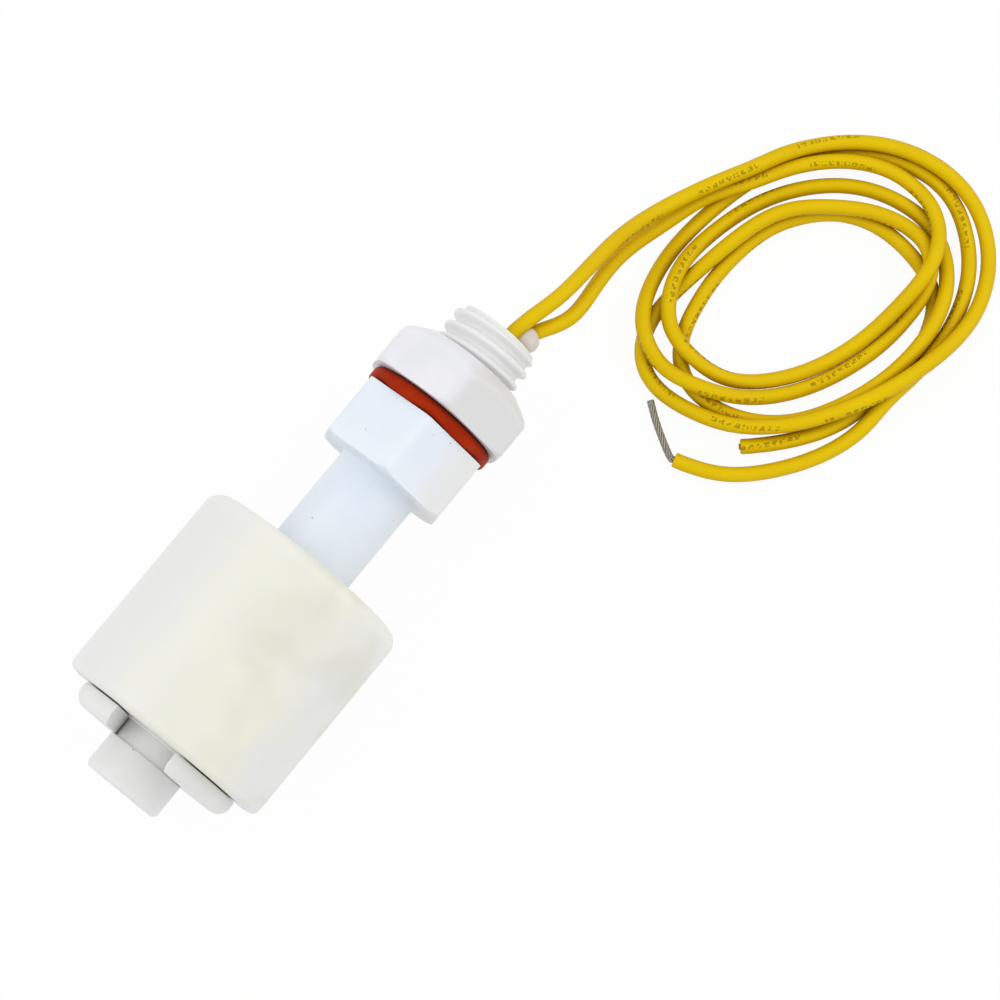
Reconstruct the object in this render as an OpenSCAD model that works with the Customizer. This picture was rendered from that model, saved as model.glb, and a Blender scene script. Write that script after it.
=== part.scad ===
// Vertical float switch, drawn lying on its float as it rests on a table.
// The stem runs along X with its closed tip at low X and its thread at high X.
// The table is the plane Z = 0. Half of the length from the closed tip to the end of the
// resin bead is above X = 0, Y = 0.
// Distances called "at" are measured along the stem from the closed tip.

/* [Stem] */
// Length of the closed tip below the clip groove
tip_len = 4; // [3:0.1:6]
// Diameter of the closed tip, a little slimmer than the stem so that the clip slides on
tip_d = 8.6; // [8.4:0.1:8.8]
// Outside diameter of the stem tube
stem_d = 9; // [8.8:0.1:9.2]
// Diameter of the blind hole that holds the reed switch
bore_d = 6; // [6:0.05:6.4]
// Bevel on the tip of the stem
tip_bevel = 0.6; // [0.2:0.1:1]

/* [Retaining clip] */
// Outside diameter of the clip
clip_d = 18.6; // [16:0.1:20]
// Thickness of the clip
clip_t = 2; // [1.2:0.1:2.6]
// Radius on the clip's outer rim, on the side of the tip
clip_edge_r = 1.4; // [0.6:0.1:1.8]
// Diameter of the groove floor that the clip grips
groove_d = 7.8; // [7.4:0.1:8]
// Width of the clip's mouth, narrower than the groove floor so that it snaps on
mouth_w = 7.2; // [6.4:0.1:7.3]
// How far the mouth leans from straight up, in degrees
mouth_lean = -4; // [-10:1:10]

/* [Float] */
// Outside diameter of the float
float_d = 23.3; // [22:0.1:25]
// Height of the float along the stem
float_h = 22.3; // [20:0.1:24]
// How far the float can rise
float_travel = 10.8; // [8:0.1:13]
// Wall thickness of the float
float_wall = 1.2; // [1:0.1:1.5]
// Radius on the float's upper edge
upper_edge_r = 1.6; // [1:0.1:2]
// Radius on the float's lower edge
lower_edge_r = 0.8; // [0.4:0.1:1]
// Thickness of the welded end cap
cap_t = 1.8; // [1.4:0.1:2.2]
// Number of ribs that hold the magnet down
float_ribs = 6; // [3:1:8]

/* [Ring magnet] */
// Outside diameter of the ring magnet
magnet_d = 17.6; // [15:0.1:18]
// Height of the ring magnet
magnet_h = 5; // [4:0.1:6]

/* [Flange and thread] */
// Width across the flats of the hexagonal flange
flange_af = 13.8; // [13:0.1:15]
// Height of the flange
flange_h = 6.8; // [5:0.1:8]
// Outside diameter of the free end of the thread
thread_d = 9.6; // [9.5:0.05:9.8]
// Length of thread that stands free of the nut
thread_free = 4.4; // [3:0.1:5]
// How far the flange's corners turn from straight up, in degrees
flange_turn = 7; // [0:1:20]

/* [Nut and gasket] */
// Width across the flats of the lock nut
nut_af = 15.4; // [14:0.1:17]
// Height of the lock nut
nut_h = 5.9; // [5:0.1:8]
// Angle between the nut's outer face and its coned rim, in degrees
nut_cone = 30; // [20:1:35]
// How far the nut's corners turn from straight up, in degrees
nut_turn = 10; // [0:1:20]
// Outside diameter of the gasket
gasket_d = 14.6; // [13.5:0.1:16]
// Thickness of the gasket
gasket_t = 1.7; // [1.2:0.1:2.4]

/* [Reed switch] */
// Diameter of the glass capsule
glass_d = 2.2; // [2:0.05:2.3]
// Length of the glass capsule
glass_len = 14; // [12:0.1:15]
// Gap between the two open reed blades
blade_gap = 0.22; // [0.2:0.01:0.26]

/* [Wires] */
// Diameter of each insulated wire
wire_d = 1.6; // [1.4:0.05:1.6]
// Height of the loose coil of wire on the table
coil_h = 4; // [3:0.1:5]

/* [Hidden] */
$fn = 72;

// Running gaps and overlaps between pieces
rest_gap = 0.3;
seat_gap = 0.05;
cut = 1;

// Places along the stem, from the closed tip
clip_at = tip_len;
float_at = clip_at + clip_t + rest_gap;
flange_at = float_at + float_h + float_travel + rest_gap;
gasket_at = flange_at + flange_h;
nut_at = gasket_at + gasket_t;
thread_free_at = nut_at + nut_h;
stem_len = thread_free_at + thread_free;
tip_floor = 2.8;
bore_at = clip_at + clip_t + tip_floor;
axis_h = float_d / 2;

// Radii of the stem
stem_r = stem_d / 2;
tip_r = tip_d / 2;
bore_r = bore_d / 2;
thread_r = thread_d / 2;
// Under the nut and gasket the thread is drawn at the radius halfway up its ridges,
// because the nut's own ridges fill the other half
engaged_r = thread_r - 0.25;
thread_bevel = 0.5;

// Bevels on the hexagons, as [inwards, along the stem]
hex_bevel = [0.5, 0.25];
nut_face_r = engaged_r + 1.1;
nut_rim = nut_af / sqrt(3) - nut_face_r;
nut_bevel = [nut_rim, nut_rim * tan(nut_cone)];

// Float: a bored cup, closed by a ring-shaped cap at its lower end
float_r = float_d / 2;
float_bore_r = stem_r + rest_gap;
tube_wall = 1;
tube_r = float_bore_r + tube_wall;
cap_spigot_h = 0.7;
cap_spigot_t = 1.4;
magnet_at = float_at + cap_t + cap_spigot_h;
rib_t = 1;
rib_r = magnet_d / 2 - 0.6;

// Reed capsule and its leads, as [height above the stem axis, sideways place]
glass_axis = [0.75, -0.53];
wire_a_axis = [0.7, -1.15];
wire_b_axis = [-0.75, -2];
glass_mid_at = magnet_at + magnet_h / 2 + float_travel;
glass_lo_at = glass_mid_at - glass_len / 2;
glass_hi_at = glass_mid_at + glass_len / 2;
glass_wall = 0.3;
seal_len = 2;
lead_r = 0.25;
lead_out = 4;
blade_w = 0.9;
blade_t = 0.2;
blade_lap = 1;
blade_root_gap = 0.05;
core_r = 0.35;
wire_r = wire_d / 2;

// Solder joints: the upper one is a lap joint, the lower one grips a bent lead
upper_joint_at = glass_hi_at + 1.6;
upper_joint_len = 2.4;
wire_a_at = upper_joint_at + upper_joint_len + 0.4;
lower_bend_at = glass_lo_at - 2.6;
lower_joint_len = 2;
lower_joint_at = lower_bend_at - lower_joint_len / 2;
upper_skin = 0.15;
lower_skin = 0.35;
wire_b_at = lower_bend_at + lower_joint_len / 2 + 0.5;

// Sleeve: the smallest circle round the upper joint's lead and wire, and a little room
sleeve_wall = 0.18;
sleeve_fit = 0.02;
sleeve_len = 3;
joint_reach = norm(wire_a_axis - glass_axis);
joint_r = (joint_reach + lead_r + core_r) / 2 + upper_skin;
sleeve_in_r = joint_r + sleeve_fit;
joint_share = (joint_r - lead_r - upper_skin) / joint_reach;
joint_axis = glass_axis + joint_share * (wire_a_axis - glass_axis);
sleeve_at = upper_joint_at - 0.3;

// Resin that fills the stem, and the bead where the wires leave it
resin_drop = 0.4;
bead_r = 2;
middle_at = (stem_len + bead_r) / 2;
bead_place = [0.15, -2];
bead_run = 2.2;

// Loose wire ends in millimetres: x beyond the threaded end, y, and height above the table
wire_a_lead_route = [
    [5.1, -2.1, 11.9], [7.7, -2.4, 11.1], [10.3, -2.4, 10],
    [12.8, -2.4, 8.8], [15.3, -2.4, 7.6], [17.8, -2.7, 6.3], [20.2, -3.2, 5.1],
    [22.6, -3.9, 4.1], [25.0, -4.9, 3.3], [27.4, -6.1, 2.8], [29.6, -7.4, 2.5]
];
wire_b_lead_route = [
    [4.4, -4.1, 10.4], [6.6, -4.5, 9.6], [9.1, -4.1, 8.6],
    [11.6, -3.7, 7.3], [14.1, -3.5, 5.9], [16.5, -3.6, 4.5], [18.9, -4.1, 3.3],
    [21.3, -4.6, 2.3], [23.8, -5.2, 1.4], [26.4, -6.1, 0.9], [29.0, -7.5, 0.8]
];
wire_a_tail_route = [
    [20.6, -33.4, 0.8], [17.8, -33.7, 0.8], [14.9, -32.9, 0.8], [12.1, -31.7, 0.8],
    [9.3, -29.9, 0.8], [6.9, -27.9, 0.8], [5.0, -25.9, 0.8], [3.6, -23.3, 0.8], [2.8, -20.5, 0.8]
];
wire_b_tail_route = [
    [17.9, -31.9, 0.8], [14.1, -30.2, 0.8], [11.2, -28.0, 0.8], [9.5, -26.5, 0.8],
    [8.1, -24.9, 0.8]
];
tinned_route = [
    [2.8, -20.5, 0.8], [2.7, -20.15, 0.8], [3.4, -18.8, 0.8], [4.7, -16.7, 0.7], [6.1, -14.8, 0.6]
];
tinned_r = 0.4;

// Outer and inner edge of the loose coil, as [x beyond the threaded end, y]
coil_outer = [
    [39.8, -12.6], [42.8, -16.4], [44.4, -20.8], [44.4, -25.5], [42.5, -30], [38.5, -34],
    [33, -36], [26.5, -35.6], [19.5, -33.4], [12.3, -27.5], [8.7, -23.7], [7, -19], [7, -14.1],
    [9.4, -9.7], [13.5, -7.1], [20, -6], [28.8, -7.1], [35.3, -9.2]
];
coil_inner = [
    [33, -17.9], [34.3, -21.3], [34.4, -24.4], [33.8, -26.4], [32.4, -27.3], [30.8, -27.7],
    [28.5, -27.6], [24.5, -26.9], [20.5, -25.4], [17.3, -23.4], [14, -20], [12.8, -17.3],
    [12.8, -15.2], [13.8, -13.8], [16.3, -13], [21, -12.5], [27, -13.3], [30.2, -15.2]
];
coil_steps = 3;

// Places a shape drawn along Z, with its foot at the origin, at a distance along the stem.
// Its -X side then faces straight up.
module on_stem(at) {
    translate([at - middle_at, 0, axis_h])
        rotate([0, 90, 0])
            children();
}

// A round rod along the stem, off its axis by [height, sideways]
module rod(at, place, r, h) {
    on_stem(at)
        translate([-place[0], place[1], 0])
            cylinder(r = r, h = h);
}

// A ring or disc with square edges
module ring(r_out, r_in, h) {
    difference() {
        cylinder(r = r_out, h = h);
        translate([0, 0, -cut])
            cylinder(r = r_in, h = h + 2 * cut);
    }
}

// The solid that bevels both ends of a hexagon: a drum with coned rims,
// each given as [inwards, along the stem]
module drum(r, h, bevel_lo, bevel_hi) {
    rotate_extrude()
        polygon([
            [0, 0], [r - bevel_lo[0], 0], [r, bevel_lo[1]],
            [r, h - bevel_hi[1]], [r - bevel_hi[0], h], [0, h]
        ]);
}

// A hexagonal prism with bevelled rims
module hex_block(af, h, bevel_lo, bevel_hi) {
    corner_r = af / sqrt(3);
    intersection() {
        cylinder(r = corner_r, h = h, $fn = 6);
        drum(corner_r, h, bevel_lo, bevel_hi);
    }
}

// Points of a curve through a closed list of 2D points
function closed_curve(p, steps) = [
    for (i = [0 : len(p) - 1], s = [0 : steps - 1])
        let (
            n = len(p),
            t = s / steps,
            a = p[(i + n - 1) % n],
            b = p[i],
            c = p[(i + 1) % n],
            d = p[(i + 2) % n]
        )
        0.5 * (2 * b + (c - a) * t + (2 * a - 5 * b + 4 * c - d) * t * t
            + (3 * b - a - 3 * c + d) * t * t * t)
];

function unit(v) = v / norm(v);

// Direction of a route at one of its points
function heading(p, i) = unit(p[min(i + 1, len(p) - 1)] - p[max(i - 1, 0)]);

// One ring of a tube's wall, square to the route and with a flat side facing down
function tube_ring(p, i, r, sides) =
    let (
        t = heading(p, i),
        side = unit(cross([0, 0, 1], t)),
        up = cross(t, side)
    )
    [
        for (k = [0 : sides - 1])
            let (a = 360 * (k + 0.5) / sides)
            p[i] + r * (cos(a) * side + sin(a) * up)
    ];

// A closed tube with flat ends, swept along the points of a route
module tube(p, r, sides = 8) {
    n = len(p);
    walls = [
        for (i = [0 : n - 2], k = [0 : sides - 1])
            let (
                k2 = (k + 1) % sides,
                lo = i * sides,
                hi = (i + 1) * sides
            )
            each [[lo + k, lo + k2, hi + k2], [lo + k, hi + k2, hi + k]]
    ];
    foot = [for (k = [sides - 1 : -1 : 0]) k];
    head = [for (k = [0 : sides - 1]) (n - 1) * sides + k];
    polyhedron(
        points = [for (i = [0 : n - 1]) each tube_ring(p, i, r, sides)],
        faces = concat([foot], walls, [head]),
        convexity = 6
    );
}

// The start of a wire's route: straight out of the resin at its place in the stem
function straight_start(place) = [
    [0, place[1], axis_h + place[0]],
    [bead_run, place[1], axis_h + place[0]]
];

module beyond_thread() {
    translate([stem_len - middle_at, 0, 0])
        children();
}

// Stem: closed tube, clip groove, hexagonal flange and thread in one moulding
module stem_body() {
    color("#f4f6f6")
        difference() {
            union() {
                on_stem(0)
                    rotate_extrude()
                        polygon([
                            [0, 0],
                            [tip_r - tip_bevel, 0],
                            [tip_r, tip_bevel],
                            [tip_r, clip_at],
                            [groove_d / 2, clip_at],
                            [groove_d / 2, clip_at + clip_t + seat_gap],
                            [stem_r, clip_at + clip_t + seat_gap],
                            [stem_r, gasket_at - 0.5 * flange_h],
                            [engaged_r, gasket_at - 0.5 * flange_h],
                            [engaged_r, thread_free_at],
                            [thread_r, thread_free_at],
                            [thread_r, stem_len - thread_bevel],
                            [thread_r - thread_bevel, stem_len],
                            [0, stem_len]
                        ]);
                on_stem(flange_at)
                    rotate([0, 0, flange_turn])
                        hex_block(flange_af, flange_h, hex_bevel, hex_bevel);
            }
            on_stem(bore_at)
                cylinder(r = bore_r, h = stem_len);
        }
}

// The clip's outer shape: a disc with a rounded lower rim, drawn higher than the clip
module clip_rim_profile() {
    clip_r = clip_d / 2;
    square([clip_r - clip_edge_r, clip_t]);
    translate([clip_r - clip_edge_r, clip_edge_r])
        circle(r = clip_edge_r);
    translate([0, clip_edge_r])
        square([clip_r, clip_t]);
}

// Clip: a flat C that snaps into the groove and keeps the float on
module retaining_clip() {
    color("#f2f2f0")
        on_stem(clip_at + seat_gap / 2)
            intersection() {
                rotate([0, 0, mouth_lean])
                    linear_extrude(height = clip_t)
                        difference() {
                            circle(d = clip_d);
                            circle(r = groove_d / 2 + seat_gap);
                            translate([-clip_d, -mouth_w / 2])
                                square([clip_d, mouth_w]);
                        }
                rotate_extrude()
                    clip_rim_profile();
            }
}

// Lock nut, with a coned outer rim and a countersunk hole
module lock_nut() {
    hole_r = engaged_r + seat_gap;
    sink = 0.5;
    color("#eceeee")
        on_stem(nut_at)
            difference() {
                rotate([0, 0, nut_turn])
                    hex_block(nut_af, nut_h, hex_bevel, nut_bevel);
                translate([0, 0, -cut])
                    cylinder(r = hole_r, h = nut_h + 2 * cut);
                translate([0, 0, nut_h - sink])
                    cylinder(r1 = hole_r, r2 = hole_r + sink, h = sink + seat_gap);
            }
}

// Gasket with rounded rims, between the flange and the nut
module gasket() {
    round_r = 0.45;
    color("#b32a08")
        on_stem(gasket_at)
            rotate_extrude() {
                translate([engaged_r + seat_gap, 0])
                    square([gasket_d / 2 - round_r - engaged_r - seat_gap, gasket_t]);
                translate([gasket_d / 2 - round_r - cut, round_r])
                    square([round_r + cut, gasket_t - 2 * round_r]);
                for (z = [round_r, gasket_t - round_r])
                    translate([gasket_d / 2 - round_r, z])
                        circle(r = round_r);
            }
}

// Outline of the float's outer skin, closed at the upper end and open at the lower one
module float_skin_profile() {
    inner_r = float_r - float_wall;
    difference() {
        union() {
            translate([float_bore_r, 0])
                square([float_r - upper_edge_r - float_bore_r, float_h]);
            translate([float_bore_r, lower_edge_r])
                square([float_r - float_bore_r, float_h - upper_edge_r - lower_edge_r]);
            translate([float_r - upper_edge_r, float_h - upper_edge_r])
                circle(r = upper_edge_r);
            translate([float_r - lower_edge_r, lower_edge_r])
                circle(r = lower_edge_r);
        }
        translate([tube_r, -cut])
            square([inner_r - tube_r, float_h - float_wall + cut]);
    }
}

// Float shell: outer wall, upper wall, inner tube and the ribs that press on the magnet
module float_shell() {
    rib_at = magnet_at + magnet_h - float_at;
    color("#f3f1df")
        on_stem(float_at)
            union() {
                rotate_extrude()
                    float_skin_profile();
                for (i = [0 : float_ribs - 1])
                    rotate([0, 0, i * 360 / float_ribs])
                        translate([tube_r - 0.5, -rib_t / 2, rib_at])
                            cube([rib_r - tube_r + 0.5, rib_t, float_h - rib_at - 0.5]);
            }
}

// Float cap: a ring let into the lower end, with a raised rim that carries the magnet
module float_cap() {
    cap_in_r = tube_r + seat_gap;
    cap_out_r = float_r - float_wall - seat_gap;
    color("#efedd9")
        on_stem(float_at) {
            ring(cap_out_r, cap_in_r, cap_t);
            translate([0, 0, cap_t - seat_gap])
                ring(cap_in_r + cap_spigot_t, cap_in_r, cap_spigot_h + seat_gap);
        }
}

module ring_magnet() {
    color("#3a3a3c")
        on_stem(magnet_at)
            ring(magnet_d / 2, tube_r + seat_gap, magnet_h);
}

// Glass capsule: a thin tube with both ends melted shut round the leads
module reed_glass() {
    end_r = 0.7;
    glass_r = glass_d / 2;
    color("#b9d3c4")
        on_stem(glass_lo_at)
            translate([-glass_axis[0], glass_axis[1], 0])
                rotate_extrude()
                    polygon([
                        [lead_r, 0],
                        [glass_r - end_r, 0],
                        [glass_r, end_r],
                        [glass_r, glass_len - end_r],
                        [glass_r - end_r, glass_len],
                        [lead_r, glass_len],
                        [lead_r, glass_len - seal_len],
                        [glass_r - glass_wall, glass_len - seal_len - end_r / 2],
                        [glass_r - glass_wall, seal_len + end_r / 2],
                        [lead_r, seal_len]
                    ]);
}

module reed_lead_upper() {
    color("#c9b98a")
        rod(glass_hi_at - seal_len, glass_axis, lead_r, seal_len + lead_out);
}

// Lower lead: straight out of the glass, then bent across to the second wire
module reed_lead_lower() {
    drop = glass_lo_at + seal_len - lower_bend_at;
    reach = wire_b_axis - glass_axis;
    color("#c9b98a") {
        rod(lower_bend_at - lead_r, glass_axis, lead_r, drop + lead_r);
        on_stem(lower_bend_at)
            translate([-glass_axis[0], glass_axis[1], 0])
                rotate([0, 0, atan2(reach[1], -reach[0])])
                    rotate([0, 90, 0])
                        cylinder(r = lead_r, h = norm(reach) - core_r);
    }
}

// A flat spring blade that starts at its hinge line and points along +Z
module blade() {
    reach = (glass_len - 2 * seal_len + blade_lap) / 2 - blade_root_gap;
    translate([0, -blade_w / 2, blade_root_gap])
        cube([blade_t, blade_w, reach]);
}

module reed_blade_upper() {
    color("#bfae7c")
        on_stem(glass_hi_at - seal_len)
            translate([-glass_axis[0], glass_axis[1], 0])
                rotate([0, 180, 0])
                    translate([blade_gap / 2, 0, 0])
                        blade();
}

module reed_blade_lower() {
    color("#bfae7c")
        on_stem(glass_lo_at + seal_len)
            translate([-glass_axis[0] + blade_gap / 2, glass_axis[1], 0])
                blade();
}

// Stripped ends of the two wires, inside their solder joints
module bare_core_a() {
    color("#b87340")
        rod(upper_joint_at, wire_a_axis, core_r, wire_a_at - upper_joint_at);
}

module bare_core_b() {
    color("#b87340")
        rod(lower_joint_at, wire_b_axis, core_r, wire_b_at - lower_joint_at);
}

module solder_upper() {
    color("#c8c9c6")
        difference() {
            union() {
                rod(upper_joint_at, glass_axis, lead_r + upper_skin, upper_joint_len);
                rod(upper_joint_at, wire_a_axis, core_r + upper_skin, upper_joint_len);
            }
            rod(upper_joint_at - cut, glass_axis, lead_r, upper_joint_len + 2 * cut);
            rod(upper_joint_at - cut, wire_a_axis, core_r, upper_joint_len + 2 * cut);
        }
}

module solder_lower() {
    color("#c8c9c6")
        difference() {
            rod(lower_joint_at, wire_b_axis, core_r + lower_skin, lower_joint_len);
            rod(lower_joint_at - cut, wire_b_axis, core_r, lower_joint_len + 2 * cut);
            reed_lead_lower();
        }
}

// Shrink sleeve round the upper solder joint
module shrink_sleeve() {
    color("#2b2b2b")
        difference() {
            rod(sleeve_at, joint_axis, sleeve_in_r + sleeve_wall, sleeve_len);
            rod(sleeve_at - cut, joint_axis, sleeve_in_r, sleeve_len + 2 * cut);
        }
}

module wire_a_inside() {
    color("#e0c000")
        rod(wire_a_at, wire_a_axis, wire_r, stem_len - wire_a_at);
}

module wire_b_inside() {
    color("#e0c000")
        rod(wire_b_at, wire_b_axis, wire_r, stem_len - wire_b_at);
}

// Resin that fills the stem round the capsule and the wires
module resin_fill() {
    top_at = stem_len - resin_drop;
    color("#d8c9a6")
        difference() {
            on_stem(bore_at)
                cylinder(r = bore_r, h = top_at - bore_at);
            rod(glass_lo_at, glass_axis, glass_d / 2, glass_len);
            reed_lead_upper();
            reed_lead_lower();
            rod(sleeve_at, joint_axis, sleeve_in_r + sleeve_wall, sleeve_len);
            rod(upper_joint_at, wire_a_axis, core_r, wire_a_at - upper_joint_at);
            rod(wire_a_at, wire_a_axis, wire_r, stem_len - wire_a_at);
            rod(lower_joint_at, wire_b_axis, core_r + lower_skin, lower_joint_len);
            rod(lower_joint_at, wire_b_axis, core_r, wire_b_at - lower_joint_at);
            rod(wire_b_at, wire_b_axis, wire_r, stem_len - wire_b_at);
        }
}

// Bead of resin on the wires where they leave the stem
module exit_bead() {
    color("#e6cfae")
        difference() {
            intersection() {
                on_stem(stem_len)
                    translate([-bead_place[0], bead_place[1], 0])
                        sphere(r = bead_r);
                on_stem(stem_len - resin_drop)
                    cylinder(r = bore_r, h = bead_r + resin_drop);
            }
            rod(stem_len - cut, wire_a_axis, wire_r, bead_run + 2 * cut);
            rod(stem_len - cut, wire_b_axis, wire_r, bead_run + 2 * cut);
        }
}

module wire_a_lead() {
    color("#e0c000")
        beyond_thread()
            tube(concat(straight_start(wire_a_axis), wire_a_lead_route), wire_r);
}

module wire_b_lead() {
    color("#e0c000")
        beyond_thread()
            tube(concat(straight_start(wire_b_axis), wire_b_lead_route), wire_r);
}

// The loose coil of both wires as one plain ring of its outer shape
module wire_coil() {
    color("#d9b800")
        beyond_thread()
            linear_extrude(height = coil_h)
                difference() {
                    polygon(closed_curve(coil_outer, coil_steps));
                    polygon(closed_curve(coil_inner, coil_steps));
                }
}

module wire_a_tail() {
    color("#e0c000")
        beyond_thread()
            tube(wire_a_tail_route, wire_r);
}

module wire_b_tail() {
    color("#e0c000")
        beyond_thread()
            tube(wire_b_tail_route, wire_r);
}

module tinned_end() {
    color("#8e8b7c")
        beyond_thread()
            tube(tinned_route, tinned_r);
}

stem_body();
retaining_clip();
lock_nut();
gasket();
float_shell();
float_cap();
ring_magnet();
reed_glass();
reed_lead_upper();
reed_lead_lower();
reed_blade_upper();
reed_blade_lower();
bare_core_a();
bare_core_b();
solder_upper();
solder_lower();
shrink_sleeve();
wire_a_inside();
wire_b_inside();
resin_fill();
exit_bead();
wire_a_lead();
wire_b_lead();
wire_coil();
wire_a_tail();
wire_b_tail();
tinned_end();
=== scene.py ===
"""A small vertical float switch lying on a white table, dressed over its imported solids.

Places are in the part's own frame: +X along the stem towards the thread and the wires,
+Z up from the table. Sizes are in millimetres until a mesh is made, and "at" is a
distance along the stem from its closed tip. Angles round the stem start straight up
and grow towards +Y.
"""
import enum
import logging
import math
from dataclasses import dataclass, field
from typing import Optional, Sequence

import bpy
import numpy as np
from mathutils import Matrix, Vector


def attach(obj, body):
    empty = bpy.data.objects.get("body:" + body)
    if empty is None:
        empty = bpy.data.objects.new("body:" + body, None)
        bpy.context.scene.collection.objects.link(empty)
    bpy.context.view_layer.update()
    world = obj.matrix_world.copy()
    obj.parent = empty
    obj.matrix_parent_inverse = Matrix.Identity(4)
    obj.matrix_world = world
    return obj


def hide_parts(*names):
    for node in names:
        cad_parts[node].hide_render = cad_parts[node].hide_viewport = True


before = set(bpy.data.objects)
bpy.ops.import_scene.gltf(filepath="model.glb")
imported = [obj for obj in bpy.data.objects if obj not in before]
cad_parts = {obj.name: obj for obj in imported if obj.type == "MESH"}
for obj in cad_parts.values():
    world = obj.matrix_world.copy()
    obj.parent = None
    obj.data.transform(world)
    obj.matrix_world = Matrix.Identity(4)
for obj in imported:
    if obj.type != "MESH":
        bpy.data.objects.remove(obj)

LOG = logging.getLogger("float_switch")
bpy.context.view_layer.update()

MM = 0.001
STEM_LEN = 58.5
MIDDLE_AT = 30.25
AXIS_H = 11.65
THREAD_END_X = STEM_LEN - MIDDLE_AT
WIRE_D = 1.6
SMOOTH_ANGLE = math.radians(38)
POLYPROPYLENE_IOR = 1.49
GAP_RAYS = 6

# A mix node's colour sockets, which share their names with its other ones
MIX_SHARE = 0
MIX_FIRST = 6
MIX_SECOND = 7
MIX_RESULT = 2

Hex = str
Socket = bpy.types.NodeSocket
Faces = list[tuple[int, ...]]


class Body(enum.Enum):
    """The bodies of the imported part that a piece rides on."""

    STEM = "stem"
    FLOAT = "float"


# Small tools


def linear(colour: Hex) -> tuple[float, float, float, float]:
    """Turn an sRGB hex colour into the linear one that shaders take.

    Args:
        colour: the colour as six hex digits after a hash.

    Returns:
        Red, green, blue and an alpha of one.
    """
    parts = [int(colour[i:i + 2], 16) / 255 for i in (1, 3, 5)]
    flat = [c / 12.92 if c <= 0.04045 else ((c + 0.055) / 1.055) ** 2.4 for c in parts]
    return (flat[0], flat[1], flat[2], 1.0)


def feed(tree: bpy.types.NodeTree, node: bpy.types.Node, inputs: dict) -> None:
    """Give a node's inputs their values and their links.

    Args:
        tree: the node's tree.
        node: the node.
        inputs: a value, a hex colour or another node's socket for each input, by name or number.
    """
    for key, value in inputs.items():
        if isinstance(value, Socket):
            tree.links.new(value, node.inputs[key])
        else:
            node.inputs[key].default_value = linear(value) if isinstance(value, str) else value


def add(tree: bpy.types.NodeTree, kind: str, inputs: Optional[dict] = None,
        **settings: object) -> bpy.types.Node:
    """Add a node with its settings, its values and its links.

    Args:
        tree: the tree that gets the node.
        kind: the node's type name.
        inputs: what each input gets, as in feed.
        settings: the node's own properties.

    Returns:
        The new node.
    """
    node = tree.nodes.new(kind)
    for name, value in settings.items():
        setattr(node, name, value)
    feed(tree, node, inputs or {})
    return node


def formula(tree: bpy.types.NodeTree, value: float | Socket, *steps: tuple) -> Socket:
    """Work out a formula, one step after the other.

    Args:
        tree: the tree that gets the nodes.
        value: the number or socket to start from.
        steps: each step's operation, with its second value where it has one.

    Returns:
        The result.
    """
    for operation, *others in steps:
        inputs = dict(enumerate([value, *others]))
        value = add(tree, "ShaderNodeMath", inputs, operation=operation).outputs[0]
    return value


def smoothstep(x: np.ndarray) -> np.ndarray:
    """Ease from nought to one, with flat ends."""
    t = np.clip(x, 0.0, 1.0)
    return t * t * (3 - 2 * t)


def soft_min(a: np.ndarray, b: float | np.ndarray, blend: float) -> np.ndarray:
    """Take the smaller of two radii and round the edge where they meet.

    Args:
        a: the first radii.
        b: the second radius or radii.
        blend: how wide the rounded edge is, in millimetres.

    Returns:
        The blended radii.
    """
    h = np.clip(0.5 + 0.5 * (b - a) / blend, 0.0, 1.0)
    return b * (1 - h) + a * h - blend * h * (1 - h)


def between(a: np.ndarray, b: np.ndarray, c: np.ndarray, d: np.ndarray,
            t: float | np.ndarray) -> np.ndarray:
    """Run smoothly from the second of four points to the third.

    Args:
        a: the point before the span.
        b: the span's start.
        c: the span's end.
        d: the point after the span.
        t: how far along the span, from nought to one.

    Returns:
        The place, or a row for each value of t.
    """
    return 0.5 * (2 * b + (c - a) * t + (2 * a - 5 * b + 4 * c - d) * t ** 2
                  + (3 * b - a - 3 * c + d) * t ** 3)


def smooth_curve(points: np.ndarray, steps: int = 8) -> np.ndarray:
    """Run a smooth curve through a list of points.

    Args:
        points: the points, one row each.
        steps: how many short pieces each span is cut into.

    Returns:
        The curve's points, the last one included.
    """
    ends = np.vstack([2 * points[0] - points[1], points, 2 * points[-1] - points[-2]])
    t = np.arange(steps)[:, None] / steps
    spans = [between(*ends[i:i + 4], t) for i in range(len(points) - 1)]
    return np.vstack(spans + [points[-1:]])


def distances(points: np.ndarray) -> np.ndarray:
    """Measure how far along its path each point lies."""
    return np.concatenate([[0.0], np.cumsum(np.linalg.norm(np.diff(points, axis=0), axis=1))])


def even_spacing(points: np.ndarray, step: float) -> np.ndarray:
    """Space a path's points evenly along its length.

    Args:
        points: the path.
        step: the wanted distance between points, in the path's unit.

    Returns:
        The path with its points the same distance apart.
    """
    run = distances(points)
    count = max(2, int(round(run[-1] / step)) + 1)
    places = np.linspace(0.0, run[-1], count)
    return np.stack([np.interp(places, run, points[:, k]) for k in range(points.shape[1])], axis=1)


def blur(values: np.ndarray, width: float) -> np.ndarray:
    """Smooth a run of values or points, with its two ends held.

    Args:
        values: the values, one row each.
        width: the blur's spread, counted in rows.

    Returns:
        The smoothed values.
    """
    reach = int(math.ceil(3 * width))
    kernel = np.exp(-0.5 * (np.arange(-reach, reach + 1) / width) ** 2)
    kernel /= kernel.sum()
    flat = values if values.ndim == 2 else values[:, None]
    padded = np.vstack([2 * flat[0] - flat[reach:0:-1], flat, 2 * flat[-1] - flat[-2:-reach - 2:-1]])
    done = np.stack([np.convolve(padded[:, k], kernel, "valid") for k in range(flat.shape[1])], axis=1)
    return done if values.ndim == 2 else done[:, 0]


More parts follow.
